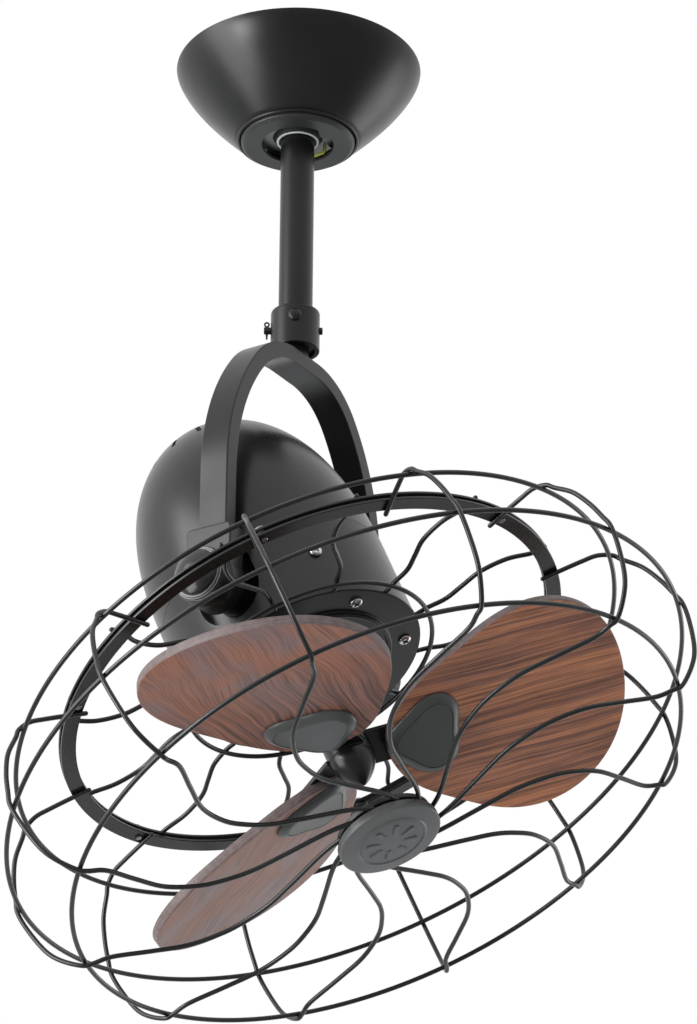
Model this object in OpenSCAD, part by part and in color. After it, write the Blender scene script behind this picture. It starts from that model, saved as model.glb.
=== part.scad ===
// Ceiling fan with one caged head that tilts in a yoke under a short downrod.
// The ceiling is the plane z = 0, the rod hangs along -Z and the tilt axis runs along X.
// All sizes are in millimetres. Head sizes called "forward" run along the head's own axis,
// from the tilt pivot towards the centre cap.

/* [Overall] */
// Depth of the tilt pivot below the ceiling
pivot_drop = 404; // [390:1:460]
// Lean of the head's axis away from straight down
head_tilt = 25.8; // [10:0.2:40]

/* [Canopy] */
// Radius of the canopy's mouth at the ceiling
canopy_r = 81.5; // [76:0.5:90]
// Depth of the canopy bowl
canopy_depth = 52; // [50:0.5:56]
// Radius of the bowl at its lower lip
canopy_lip_r = 40; // [38.5:0.5:44]
// Sheet thickness of the canopy
canopy_wall = 1.2; // [0.8:0.1:1.6]
// Height of the bowl's lip below its inner flange
canopy_lip_h = 2; // [1.4:0.1:3]
// Hole in the inner flange
canopy_hole_r = 25.5; // [24:0.5:26]
// Outer radius of the cover ring under the canopy
ring_r = 37.7; // [35:0.1:38]
// Hole in the cover ring
ring_hole_r = 23.8; // [20:0.2:26]
// Depth of the cover ring below the flange
ring_depth = 4.6; // [3.6:0.1:6]
// Sheet thickness of the cover ring
ring_wall = 1.4; // [1:0.1:1.8]
// Distance of each canopy screw from the rod's axis
canopy_screw_y = 28.7; // [28.2:0.1:28.8]
// Radius of a canopy screw
canopy_screw_r = 2; // [1.5:0.1:2.2]

/* [Ceiling bracket] */
// Sheet thickness of the bracket
bracket_t = 2; // [1.6:0.1:2.6]
// Width of the strap against the ceiling
strap_w = 48; // [40:1:52]
// Distance between the two ceiling slots
slot_spacing = 112; // [104:1:114]
// Length of the strap past the middle of each ceiling slot
strap_end = 10; // [9:0.5:11]
// Width of a ceiling slot
slot_w = 5.5; // [4.5:0.1:6.5]
// Overall length of a ceiling slot
slot_l = 14; // [10:0.5:16]
// Distance from the rod's axis to the inside of each leg
leg_y = 33; // [32.2:0.1:34]
// Width of each leg
leg_w = 30; // [20:1:36]
// Radius of the plate that carries the ball
plate_r = 36; // [35.4:0.1:37]
// Width of the side opening that the rod and ball enter through
side_slot_w = 24; // [23:0.5:26]
// Thickness of the cup wall round the ball
cup_wall = 2; // [1.5:0.1:3]

/* [Hanger ball] */
// Radius of the hanger ball
ball_r = 19; // [18.4:0.1:19.6]
// Radius of the hole that the ball rests in
seat_r = 16.5; // [16:0.1:17]
// Radius of the flat under the ball
ball_flat_r = 14; // [13.4:0.1:14.6]
// Height of the ball above its centre
ball_top = 12; // [11:0.5:13]
// Clearance between the ball and its cup
ball_fit = 0.1; // [0.05:0.05:0.2]
// Radius of the pin through ball and rod
ball_pin_r = 2.5; // [2:0.1:3]
// Height of that pin above the ball's centre
ball_pin_up = 7.5; // [6:0.5:8]

/* [Terminal block and earth wire] */
// Width of the terminal block
block_w = 18; // [14:1:18]
// Length of the terminal block
block_l = 34; // [28:1:35]
// Height of the terminal block
block_h = 9; // [7:0.5:10]
// Number of terminals
block_ways = 3; // [2:1:4]
// Radius of the earth wire
earth_r = 1.2; // [0.9:0.1:1.3]
// Radius of the earth wire's bend round the rod
earth_bend_r = 22; // [21.8:0.1:22.3]
// Half angle of the bend that shows beside the rod
earth_half_angle = 23; // [15:1:24]

/* [Downrod] */
// Radius of the downrod
rod_r = 11.1; // [10.8:0.1:11.4]
// Wall of the downrod
rod_wall = 1.5; // [1.2:0.1:2]
// Height of the rod's top above the ball's centre
rod_up = 20; // [18:0.5:21]
// Clearance round the rod in the ball and in the collar
rod_fit = 0.05; // [0.02:0.01:0.08]

/* [Collar] */
// Radius of the collar
collar_r = 15.9; // [15:0.1:18]
// Height of the collar
collar_h = 28; // [27:0.5:34]
// Radius of the collar's domed shoulder
shoulder_r = 3.6; // [2:0.1:3.8]
// Gap between the collar's open end and the top of the yoke
collar_gap = 5.6; // [5:0.1:8]
// Depth of the collar's open mouth
mouth_depth = 4; // [3:0.1:5]
// Radius of the collar's open mouth
mouth_r = 13; // [12.4:0.1:14]
// Thickness of the web inside the collar
web_t = 3; // [2.5:0.1:4]
// Compass angle of the cross pin, about the rod
pin_angle = -58.5; // [-90:0.5:0]
// Height of the cross pin above the web
pin_up = 8; // [7.6:0.1:9]
// Radius of the cross pin
pin_r = 2.4; // [2:0.1:2.6]
// Reach of the cross pin past the collar at its plain end
pin_head_reach = 1.9; // [1:0.1:3]
// Reach of the cross pin past the collar at its drilled end
pin_tail_reach = 4.4; // [3.8:0.1:6]
// Radius of the split pin's wire
split_r = 0.7; // [0.5:0.1:0.9]
// Height of the collar screw above the web
collar_screw_up = 12; // [11:0.5:14]
// Radius of the collar screw's head
collar_screw_head_r = 4.4; // [3.6:0.1:5]
// Radius of the collar screw's shank
collar_screw_r = 2.5; // [2:0.1:3]

/* [Yoke] */
// Height of the yoke above the pivot
yoke_rise = 189.4; // [184:0.2:200]
// Half width of the yoke over its legs
yoke_half = 90.7; // [88:0.1:96]
// Thickness of the yoke bar
yoke_t = 10.8; // [9:0.1:12]
// Width of the yoke bar
yoke_w = 20; // [16:0.5:26]
// Height above the pivot where the legs begin to curve
yoke_spring = 78; // [72:1:84]
// Outer radius of each leg's wide bend
leg_bend_r = 140; // [134:1:146]
// Angle that the wide bend turns through before the tighter bend of the crown
leg_turn = 40; // [38:0.5:42]
// Half width of the block at the end of each leg
lug_half_w = 18; // [17.2:0.1:20]
// Height of that block above the pivot
lug_h = 35.5; // [32:0.5:44]
// Half width of that block above its round end
lug_top_half_w = 16; // [12:0.5:17]
// Reach of that block past the outside of the leg
lug_proud = 4; // [2:0.5:6]
// Corner radius of that block
lug_corner = 3; // [1:0.5:5]
// Length of the round barrel past the block
barrel_l = 9.5; // [8:0.5:14]
// Radius of the neck between the leg and the housing
neck_r = 13; // [11:0.5:15]
// Radius of the hollow nipple at the top of the yoke
nipple_r = 5; // [4.5:0.1:6]
// Wall of the nipple
nipple_wall = 1.5; // [1:0.1:2]
// Depth of the nipple's thread in the crown of the yoke
nipple_depth = 6.6; // [5:0.1:7]
// Thickness of the nipple's nut
nut_t = 4.4; // [4:0.1:4.5]
// Width across the flats of the nipple's nut
nut_af = 14; // [13:0.5:15]
// Radius of the swivel washer
washer_r = 12; // [10:0.1:12.2]

/* [Pivots] */
// Radius of a pivot bolt
bolt_r = 5; // [4:0.1:6]
// Running clearance of a pivot bolt in the yoke
bolt_fit = 0.05; // [0.02:0.01:0.08]
// Radius of a pivot bolt's head
bolt_head_r = 8.5; // [7.5:0.1:9.5]
// Thickness of a pivot bolt's head
bolt_head_t = 5; // [4:0.5:6]
// Radius of the recess for the bolt's head
recess_r = 11; // [10.4:0.1:12]
// Depth of the recess for the bolt's head
recess_depth = 10; // [8.5:0.5:11]
// Thickness of the friction washer on each side
friction_t = 1.7; // [1.2:0.1:2.5]
// Gap between moving faces at each pivot
face_gap = 0.3; // [0.2:0.05:0.5]
// Radius of the trim ring under a pivot cap
pivot_ring_r = 17; // [16:0.1:17.1]
// Thickness of that trim ring
pivot_ring_t = 2.4; // [1.6:0.1:3]
// Radius of a pivot cap
pivot_cap_r = 14.7; // [13:0.1:15.4]
// Height of a pivot cap's dome
pivot_cap_dome = 5; // [3:0.5:7]

/* [Motor housing] */
// Radius of the housing at its seam
house_r = 75; // [74:0.1:76.5]
// Radius of the housing at its front edge
house_front_r = 73.5; // [72.5:0.1:73.8]
// Forward place of the housing's front edge
house_front = 30; // [29:0.5:32]
// Distance of the seam behind the pivot
house_seam = 28; // [27.6:0.1:30]
// Distance of the rounded tail behind the pivot
house_tail = 161.8; // [156:0.2:166]
// Roundness of the tail
tail_k = 2.6; // [2.3:0.1:3]
// Wall of the housing
house_wall = 2.5; // [2:0.1:3]
// Distance from the head's axis to the floor of each pivot pocket
pocket_x = 62; // [61:0.1:63]
// Half width of a pivot pocket
pocket_r = 22; // [21:0.1:23]
// Distance that a pocket runs behind the pivot
pocket_back = 25; // [23:0.1:25.4]
// Depth of the threaded boss behind each pocket's floor
boss_l = 8; // [6:0.5:8.5]
// Number of vent slots round the tail
vent_count = 16; // [8:1:18]
// Width of a vent slot
vent_w = 3; // [2:0.1:4]
// Distance of a vent slot's inner end from the head's axis
vent_in_r = 36; // [32:0.5:38]
// Distance of a vent slot's outer end from the head's axis
vent_out_r = 50; // [44:0.5:54]
// Width of the inner flange at the housing's front
flange_w = 16; // [14:0.5:18]
// Thickness of that flange
flange_t = 3; // [2:0.1:4]
// Radius of a side screw's head
side_head_r = 3.6; // [3:0.1:4.2]
// Radius of a side screw's shank
side_screw_r = 2; // [1.5:0.1:2.4]
// Angle of the side screws to each side of the tilt axis
side_screw_angle = 47; // [40:1:56]

/* [Front plate] */
// Thickness of the front plate
plate_t = 2.5; // [2:0.1:3]
// Radius of the front plate
front_plate_r = 74; // [73:0.1:74.5]
// Radius of the hole for the shaft
plate_hole_r = 12; // [8:0.5:16]
// Outer radius of the raised ring on the front plate
raised_r = 54; // [48:0.5:56]
// Height of the raised ring
raised_h = 3; // [1:0.5:4]
// Distance of each front plate screw from the head's axis
plate_screw_at = 63; // [61.5:0.1:64]
// Number of front plate screws
plate_screw_count = 6; // [3:1:8]
// Angle of the first front plate screw
plate_screw_angle = -3; // [-30:1:30]

/* [Motor] */
// Outer radius of the stator
stator_r = 52; // [50:0.5:54]
// Bore radius of the stator
stator_bore_r = 30.5; // [29:0.1:32]
// Length of the stator
stator_l = 32; // [26:0.5:36]
// Place of the motor bracket's face in front of the pivot
bracket_at = 18; // [16:0.2:20]
// Length of the bracket's skirt, which the side screws hold
skirt_l = 48; // [47.5:0.5:49]
// Number of stator slots
stator_slots = 12; // [8:1:16]
// Radius of each winding's coil head
coil_r = 5; // [4:0.1:5.2]
// Air gap between the rotor and the stator
air_gap = 0.4; // [0.3:0.05:0.6]
// Radius of the shaft
shaft_r = 5; // [4.5:0.1:5.5]
// Radius of the shaft's threaded tip
shaft_tip_r = 4; // [3:0.1:4.3]
// Outer radius of a bearing
bearing_r = 13; // [12:0.1:14]
// Width of a bearing
bearing_w = 8; // [6:0.5:9]
// Running clearance of the shaft in the bearings
bearing_fit = 0.03; // [0.02:0.01:0.05]
// Wall of the motor's bracket and end bell
bell_wall = 3; // [2:0.1:3.6]
// Radius of a motor through bolt
through_r = 1.8; // [1.5:0.1:2]
// Length of the capacitor
cap_l = 40; // [34:1:44]
// Width of the capacitor
cap_w = 20; // [16:1:22]
// Height of the capacitor
cap_h = 28; // [20:1:32]

/* [Blades] */
// Forward place of the blades' middle
blade_at = 102; // [100:0.5:106]
// Pitch of the blades
blade_pitch = 19; // [12:0.2:22]
// Angle of the first blade
blade_angle = 51; // [0:0.2:60]
// Number of blades
blade_count = 3; // [3:1:3]
// Thickness of a blade
blade_t = 6.2; // [5:0.1:7]
// Mean radius of a blade's outline
blade_size = 75.4; // [70:0.2:78]
// Distance of the outline's centre from the head's axis
blade_mid = 99.4; // [94:0.2:101]
// Sideways offset of the outline's centre
blade_side = 6.1; // [0:0.1:8]
// Mean radius of a pad's rounded triangle
pad_size = 25.5; // [22:0.1:27]
// Distance of a pad's middle from the head's axis
pad_mid = 46.8; // [46:0.1:50]
// Sideways offset of a pad's middle
pad_side = 3.6; // [0:0.1:5]
// Thickness of a pad
pad_t = 4.6; // [3.6:0.1:6]
// Height of a pad's upright edge
pad_edge = 1.2; // [0.8:0.1:2]
// Width of the bevel round a pad
pad_bevel = 5; // [3:0.1:6]
// Distance of each blade screw from the pad's middle
pad_screw_at = 15; // [12:0.5:16]
// Thickness of a blade arm
arm_t = 2.6; // [2:0.1:3.4]
// Width of a blade arm's neck
arm_w = 26; // [20:0.5:27]
// Radius of the blade hub
hub_r = 14.6; // [13:0.1:16]
// Length of the hub behind the blades' middle
hub_back = 17; // [12:0.5:22]
// Length of the hub in front of the blades' middle
hub_front = 1.8; // [1:0.1:3]
// Length of the nose cone
nose_l = 21; // [16:0.5:26]
// Radius of a blade screw
blade_screw_r = 2; // [1.5:0.1:2.4]
// Radius of a blade screw's head
blade_head_r = 4.4; // [3.6:0.1:5]

/* [Guard] */
// Radius of the guard's wires
wire_r = 1.5; // [1.2:0.1:1.7]
// Number of front wires, and of rear wires
wire_count = 12; // [12:1:12]
// Angle of the first front wire
front_wire_angle = 9; // [0:0.5:12]
// Angle of the first rear wire
rear_wire_angle = 15.5; // [14:0.5:20]
// Radius of the ring at the back of the cage
back_ring_r = 196.9; // [190:0.2:199]
// Forward place of that ring
back_ring_at = 52; // [50:0.5:56]
// Radius of the widest ring
middle_ring_r = 219.6; // [214:0.2:224]
// Forward place of the widest ring
middle_ring_at = 103.5; // [100:0.5:108]
// Radius of the front ring
front_ring_r = 196; // [190:0.2:200]
// Forward place of the front ring
front_ring_at = 153.5; // [150:0.5:158]
// Radius of the ring round the front plate
inner_ring_r = 81.3; // [80:0.1:84]
// Outer radius of the flat bands
band_r = 165; // [160:0.2:168]
// Width of the flat bands
band_w = 9.5; // [8:0.1:12]
// Thickness of the flat bands
band_t = 1.8; // [1.4:0.1:2.2]
// Gap between the two flat bands
band_gap = 2.2; // [1:0.1:3]
// Forward place of the front band's front face
band_at = 42.4; // [42:0.1:44]
// Number of screws that join the bands
band_screw_count = 6; // [4:1:6]
// Angle of the first band screw
band_screw_angle = 37; // [34:0.5:38]
// Sideways swing of the front wires' curl
curl = 30.5; // [20:0.5:34]
// Sideways swing of the rear wires' curl
rear_curl = 6.4; // [3:0.2:8]

/* [Centre cap] */
// Radius of the centre cap
cap_r = 32.2; // [31:0.1:36]
// Depth of the cap's rim
cap_rim = 5.5; // [4:0.1:7]
// Height of the cap's shallow dome
cap_dome = 2.4; // [1:0.1:3]
// Forward place of the middle of the cap's dome
cap_at = 169.6; // [168:0.2:172]
// Thickness of the cap's front wall
cap_wall = 2.5; // [2:0.1:3]
// Radius of the plate behind the cap
back_plate_r = 30; // [28.5:0.1:31]
// Thickness of the plate behind the cap
back_plate_t = 2.8; // [2:0.1:4]
// Height of the raised pattern on the cap
emboss = 0.7; // [0.4:0.1:1]
// Number of short ribs in the raised pattern
rib_count = 8; // [5:1:12]

/* [Hidden] */
$fn = 64;
small_gap = 0.05;
head_slack = 0.3;

// Length of the strap against the ceiling.
strap_l = slot_spacing + 2 * strap_end;

// Heights in the ceiling part, measured from the ceiling.
flange_z = -(canopy_depth - canopy_lip_h);
ball_seat_drop = sqrt(pow(ball_r + ball_fit, 2) - pow(seat_r, 2));
ball_z = flange_z + ball_seat_drop;
ring_z = flange_z - canopy_wall - ring_depth;
block_end_y = earth_bend_r * sin(earth_half_angle) - 2 * earth_r;

// Heights along the rod.
collar_z = -(pivot_drop - yoke_rise - collar_gap);
collar_top_z = collar_z + collar_h;
web_z = collar_z + mouth_depth;
web_top_z = web_z + web_t;
yoke_top_z = -(pivot_drop - yoke_rise);
clevis_z = web_top_z + pin_up;

// Distances along the tilt axis, from the head's axis outwards.
leg_in_x = yoke_half - yoke_t;
lug_out_x = yoke_half + lug_proud;
barrel_out_x = lug_out_x + barrel_l;
washer_out_x = pocket_x + friction_t;
neck_in_x = washer_out_x + face_gap;
recess_x = barrel_out_x - recess_depth;
cap_base_x = barrel_out_x + pivot_ring_t;

// Places along the head's axis.
plate_front = house_front + plate_t;
stator_front = bracket_at - 2 * coil_r - 2;
stator_rear = stator_front - stator_l;
bracket_front = bracket_at + bell_wall;
bell_rear = stator_rear - 2 * coil_r - 6;
front_bearing_at = bracket_at - bearing_w;
rear_bearing_at = bell_rear - bearing_w + bell_wall;
bell_bolt_at = stator_r - bell_wall;
blade_back = -blade_t / 2;
blade_front = blade_t / 2;
hub_face = blade_at + hub_front;
front_band_back = band_at - band_t;
rear_band_front = front_band_back - band_gap;
rear_band_back = rear_band_front - band_t;
band_mid_r = band_r - band_w / 2;
inner_ring_at = rear_band_back - wire_r - 1.6;
cap_edge = cap_at - cap_dome;
cap_seat = cap_edge - cap_rim - 2 * small_gap;
wire_end_at = cap_seat - wire_r - small_gap;
back_plate_front = wire_end_at - wire_r - small_gap;

// ---- Frames and shared shapes ----

// Puts the head's own frame in place: its +Z runs forward, towards the centre cap.
module at_head()
    translate([0, 0, -pivot_drop])
        rotate([180 - head_tilt, 0, 0])
            children();

// The same shape on both ends of the tilt axis, built along +Z outwards.
module both_pivots()
    for (side = [-90, 90])
        rotate([0, side, 0])
            children();

// Copies round the head's axis.
module around(count, first = 0)
    for (i = [0 : count - 1])
        rotate([0, 0, first + i * 360 / count])
            children();

// A flat ring with its lower face at z.
module washer(outer, inner, z, t)
    translate([0, 0, z])
        difference() {
            cylinder(r = outer, h = t);
            translate([0, 0, -1])
                cylinder(r = inner, h = t + 2);
        }

// A round bar bent into a closed ring.
module torus(ring_radius, bar_radius, z)
    translate([0, 0, z])
        rotate_extrude()
            translate([ring_radius, 0])
                circle(r = bar_radius, $fn = 24);

// A pan head screw along +Z: the underside of its head is at z = 0.
module pan_screw(shank_r, shank_l, head_r, head_h) {
    translate([0, 0, -shank_l])
        cylinder(r = shank_r, h = shank_l);
    cylinder(r = head_r, h = head_h * 0.55);
    translate([0, 0, head_h * 0.55])
        cylinder(r1 = head_r, r2 = head_r * 0.72, h = head_h * 0.45);
}

// A smooth curve through hand-placed points, with steps rings between two of them.
function spline_at(a, b, c, d, t) =
    0.5 * (2 * b + (c - a) * t + (2 * a - 5 * b + 4 * c - d) * t * t
        + (3 * b - a - 3 * c + d) * t * t * t);
function smooth_path(pts, steps) = [
    for (i = [0 : len(pts) - 2])
        for (s = [0 : steps - 1])
            spline_at(pts[max(i - 1, 0)], pts[i], pts[i + 1],
                pts[min(i + 2, len(pts) - 1)], s / steps),
    pts[len(pts) - 1]];
function unit(v) = v / norm(v);

// A round bar of radius r along a path that never runs along the direction across.
module bar(path, r, sides = 6, across = [0, 1, 0]) {
    last = len(path) - 1;
    rings = [
        for (i = [0 : last])
            let (t = unit(path[min(i + 1, last)] - path[max(i - 1, 0)]),
                n = unit(cross(t, across)),
                m = cross(t, n))
                for (k = [0 : sides - 1])
                    path[i] + r * (cos(360 * k / sides) * n + sin(360 * k / sides) * m)];
    walls = [
        for (i = [0 : last - 1])
            for (k = [0 : sides - 1])
                let (a = i * sides + k, b = i * sides + (k + 1) % sides)
                    each [[a, a + sides, b], [b, a + sides, b + sides]]];
    start = [for (k = [0 : sides - 1]) k];
    end = [for (k = [0 : sides - 1]) last * sides + sides - 1 - k];
    polyhedron(points = rings, faces = concat(walls, [start, end]), convexity = 4);
}

// ---- Ceiling part ----

// Sheet steel strap screwed to the ceiling, with two legs and a cup for the ball.
module ceiling_bracket() color("silver")
    difference() {
        union() {
            translate([-strap_w / 2, -strap_l / 2, -bracket_t])
                cube([strap_w, strap_l, bracket_t]);
            for (side = [0, 180])
                rotate([0, 0, side])
                    translate([-leg_w / 2, leg_y - bracket_t, flange_z + bracket_t])
                        cube([leg_w, bracket_t, -flange_z - 2 * bracket_t]);
            translate([0, 0, flange_z])
                cylinder(r = plate_r, h = bracket_t);
            translate([0, 0, flange_z])
                cylinder(r = ball_r + ball_fit + cup_wall, h = ball_seat_drop);
        }
        translate([0, 0, ball_z])
            sphere(r = ball_r + ball_fit);
        translate([0, -side_slot_w / 2, flange_z - 1])
            cube([plate_r + 1, side_slot_w, ball_seat_drop + 2]);
        for (side = [-1, 1]) {
            translate([0, side * slot_spacing / 2, -bracket_t / 2])
                slot_hole();
            translate([0, side * canopy_screw_y, flange_z - 1])
                cylinder(r = canopy_screw_r + small_gap, h = bracket_t + 2);
        }
    }

// One ceiling slot, long along Y.
module slot_hole() {
    straight = slot_l - slot_w;
    cube([slot_w, straight, bracket_t + 2], center = true);
    for (end = [-1, 1])
        translate([0, end * straight / 2, 0])
            cylinder(d = slot_w, h = bracket_t + 2, center = true);
}

// Radius of the bowl's outside at a depth below the ceiling.
function bowl_r(depth) =
    canopy_lip_r + (canopy_r - canopy_lip_r) * (1 - pow(depth / canopy_depth, 1.35));

// Spun steel bowl that hides the bracket. Its lower flange lies against the ball plate.
module canopy() color("#33332f")
    difference() {
        rotate_extrude() {
            steps = 14;
            outside = [for (i = [0 : steps])
                let (d = canopy_depth * i / steps) [bowl_r(d), -d]];
            inside = [for (i = [steps : -1 : 0])
                let (d = canopy_depth * i / steps) [bowl_r(d) - canopy_wall, -d]];
            polygon(concat(outside, inside));
            translate([canopy_hole_r, flange_z - canopy_wall])
                square([canopy_lip_r - canopy_hole_r, canopy_wall]);
            translate([canopy_lip_r - canopy_wall / 2, -canopy_depth])
                circle(r = canopy_wall * 0.9, $fn = 24);
        }
        for (side = [-1, 1])
            translate([0, side * canopy_screw_y, flange_z - canopy_wall - 1])
                cylinder(r = canopy_screw_r + small_gap, h = canopy_wall + 2);
    }

// Two screws that draw the canopy's flange up to the bracket.
module canopy_screws() color("silver")
    for (side = [-1, 1])
        translate([0, side * canopy_screw_y, flange_z - canopy_wall])
            rotate([180, 0, 0])
                pan_screw(canopy_screw_r, 8, canopy_screw_r * 1.9, 2);

// Cover ring that twists on over the screws.
module canopy_ring() color("#2b2b2b")
    translate([0, 0, ring_z])
        rotate_extrude() {
            translate([ring_hole_r, 0])
                square([ring_r - ring_hole_r, ring_wall]);
            translate([ring_r - ring_wall, 0])
                square([ring_wall, ring_depth]);
            translate([ring_hole_r, 0])
                square([ring_wall, ring_wall * 1.6]);
        }

// Three-way terminal block under the strap, clear of the earth wire's way up.
module terminal_block() color("white")
    translate([strap_w / 2 - block_w, block_end_y - block_l, -bracket_t - block_h])
        difference() {
            cube([block_w, block_l, block_h]);
            for (i = [0 : block_ways - 1])
                translate([block_w / 2, block_l * (i + 0.5) / block_ways, -1])
                    cylinder(r = 2.4, h = block_h * 0.6);
        }

// Earth wire: it comes down from the terminal block, bends round beside the rod, where it
// shows through the cover ring, and goes up again to the strap.
module earth_wire() color("yellowgreen") {
    low = flange_z - canopy_wall - earth_r;
    lug_z = -bracket_t - head_slack;
    reach = [earth_bend_r * cos(earth_half_angle), earth_bend_r * sin(earth_half_angle)];
    bend = [for (i = [-3 : 3])
        let (a = earth_half_angle * 0.8 * i / 3)
            [earth_bend_r * cos(a), earth_bend_r * sin(a), low]];
    bar(smooth_path(concat(
        [[reach[0], -reach[1], lug_z - block_h], [reach[0], -reach[1], low / 2],
            [reach[0], -reach[1], low + 3 * earth_r]],
        bend,
        [[reach[0], reach[1], low + 3 * earth_r], [reach[0], reach[1], low / 2],
            [reach[0], reach[1], lug_z]]), 3), earth_r, 8, [1, 0, 0]);
}

// ---- Hanging rod ----

// Moulded ball that swings in the bracket's cup, flat above and below, slotted for its pin.
module hanger_ball() color("#222222") {
    flat_drop = sqrt(pow(ball_r, 2) - pow(ball_flat_r, 2));
    translate([0, 0, ball_z])
        difference() {
            intersection() {
                sphere(r = ball_r);
                translate([0, 0, -flat_drop])
                    cylinder(r = ball_r + 1, h = flat_drop + ball_top);
            }
            translate([0, 0, -ball_r - 1])
                cylinder(r = rod_r + rod_fit, h = 2 * ball_r + 2);
            translate([-ball_r - 1, -ball_pin_r - small_gap, ball_pin_up])
                cube([2 * ball_r + 2, 2 * ball_pin_r + 2 * small_gap, ball_top]);
            rotate([0, 90, 0])
                translate([-ball_pin_up, 0, 0])
                    cylinder(r = ball_pin_r + small_gap, h = 2 * ball_r + 2, center = true);
        }
}

// Pin through the rod that rests in the ball's slot.
module ball_pin() color("silver") {
    half = sqrt(pow(ball_r, 2) - pow(ball_pin_up + ball_pin_r, 2)) - 1;
    translate([0, 0, ball_z + ball_pin_up])
        rotate([0, 90, 0])
            cylinder(r = ball_pin_r, h = 2 * half, center = true);
}

// Steel tube that carries everything, cross-drilled at both ends.
module downrod() color("#2b2b2b")
    difference() {
        translate([0, 0, web_top_z])
            cylinder(r = rod_r, h = ball_z + rod_up - web_top_z);
        translate([0, 0, web_top_z - 1])
            cylinder(r = rod_r - rod_wall, h = ball_z + rod_up - web_top_z + 2);
        translate([0, 0, ball_z + ball_pin_up])
            rotate([0, 90, 0])
                cylinder(r = ball_pin_r + small_gap, h = 3 * rod_r, center = true);
        translate([0, 0, clevis_z])
            rotate([0, 90, pin_angle])
                cylinder(r = pin_r + small_gap, h = 3 * rod_r, center = true);
    }

// Turned collar: the rod stands on its web and its mouth is open towards the yoke.
module yoke_collar() color("#3a3a3a")
    difference() {
        rotate_extrude() {
            translate([0, collar_z])
                square([collar_r, collar_h - shoulder_r]);
            translate([0, collar_z])
                square([collar_r - shoulder_r, collar_h]);
            translate([collar_r - shoulder_r, collar_top_z - shoulder_r])
                circle(r = shoulder_r, $fn = 32);
        }
        translate([0, 0, web_top_z])
            cylinder(r = rod_r + rod_fit, h = collar_h);
        translate([0, 0, web_z - collar_h])
            cylinder(r = mouth_r, h = collar_h);
        translate([0, 0, web_z - 1])
            cylinder(r = nipple_r + small_gap, h = web_t + 2);
        translate([0, 0, clevis_z])
            rotate([0, 90, pin_angle])
                cylinder(r = pin_r + small_gap, h = 3 * collar_r, center = true);
        translate([0, 0, web_top_z + collar_screw_up])
            rotate([0, 90, pin_angle - 90])
                cylinder(r = collar_screw_r + small_gap, h = 2 * collar_r);
    }

// Plain set screw that stops the rod from turning in the collar.
module collar_screw() color("#2b2b2b")
    translate([0, 0, web_top_z + collar_screw_up])
        rotate([0, 90, pin_angle - 90])
            translate([0, 0, collar_r])
                pan_screw(collar_screw_r, collar_r - rod_r, collar_screw_head_r, 2.6);

// Cross pin through the collar and the rod, drilled at one end for the split pin.
module clevis_pin() color("#4a4a4a")
    translate([0, 0, clevis_z])
        rotate([0, 90, pin_angle])
            difference() {
                translate([0, 0, -collar_r - pin_tail_reach])
                    cylinder(r = pin_r, h = 2 * collar_r + pin_tail_reach + pin_head_reach);
                translate([0, 0, -split_x()])
                    rotate([0, 90, 0])
                        cylinder(r = split_r + small_gap, h = 3 * pin_r, center = true);
            }

// Distance of the split pin from the rod's axis.
function split_x() = collar_r + pin_tail_reach - split_r - 1.2;

// Split pin: an eye above the cross pin, a shank through it and two bent ends below.
module split_pin() color("#222222")
    rotate([0, 0, pin_angle])
        translate([-split_x(), 0, clevis_z]) {
            eye_r = 2 * split_r;
            leg = pin_r + 3.4 * split_r;
            translate([0, 0, pin_r + eye_r + split_r])
                rotate([90, 0, 0])
                    torus(eye_r, split_r, 0);
            translate([0, 0, -leg])
                cylinder(r = split_r, h = leg + pin_r + split_r);
            for (side = [-1, 1])
                translate([0, 0, -leg + split_r])
                    rotate([0, 90 + side * 25, 90 + side * 90])
                        cylinder(r = split_r, h = 3.2 * split_r);
        }

// ---- Yoke ----

// Right half of the arch, inset by inset: the leg's wide bend, then the crown's tighter one.
function arch_points(inset, steps) =
    let (wide = [yoke_half - leg_bend_r, yoke_spring],
        turn = [cos(leg_turn), sin(leg_turn)],
        joint = wide + leg_bend_r * turn,
        crown_r = (yoke_rise - joint[1]) / (1 - turn[1]),
        tight = joint - crown_r * turn)
        concat(
            [for (i = [0 : steps])
                let (a = leg_turn * i / steps)
                    wide + (leg_bend_r - inset) * [cos(a), sin(a)]],
            [for (i = [1 : steps])
                let (a = leg_turn + (90 - leg_turn) * i / steps)
                    tight + (crown_r - inset) * [cos(a), sin(a)]]);

// Bent bar with a blind hole for the nipple, a block and a barrel at each leg's end.
module yoke() color("#2f2f2f")
    translate([0, 0, -pivot_drop])
        difference() {
            union() {
                rotate([90, 0, 0])
                    linear_extrude(yoke_w, center = true)
                        arch_section();
                for (side = [-1, 1])
                    scale([side, 1, 1])
                        translate([leg_in_x, 0, 0])
                            rotate([90, 0, 90])
                                linear_extrude(lug_out_x - leg_in_x)
                                    lug_outline();
                both_pivots() {
                    translate([0, 0, lug_out_x - 1])
                        cylinder(r = lug_half_w, h = barrel_l + 1);
                    translate([0, 0, neck_in_x])
                        cylinder(r = neck_r, h = leg_in_x - neck_in_x + 1);
                }
                translate([0, 0, yoke_rise - 1])
                    cylinder(r = nipple_r + 4, h = 1 + collar_gap + mouth_depth - swivel_t());
            }
            both_pivots() {
                cylinder(r = bolt_r + bolt_fit, h = barrel_out_x + 1);
                translate([0, 0, recess_x])
                    cylinder(r = recess_r, h = recess_depth + 1);
            }
            translate([0, 0, yoke_rise - nipple_depth])
                cylinder(r = nipple_r + small_gap, h = nipple_depth + collar_gap + mouth_depth);
        }

// Thickness of the swivel washer, between the yoke's boss and the collar's web.
function swivel_t() = 2;

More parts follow.
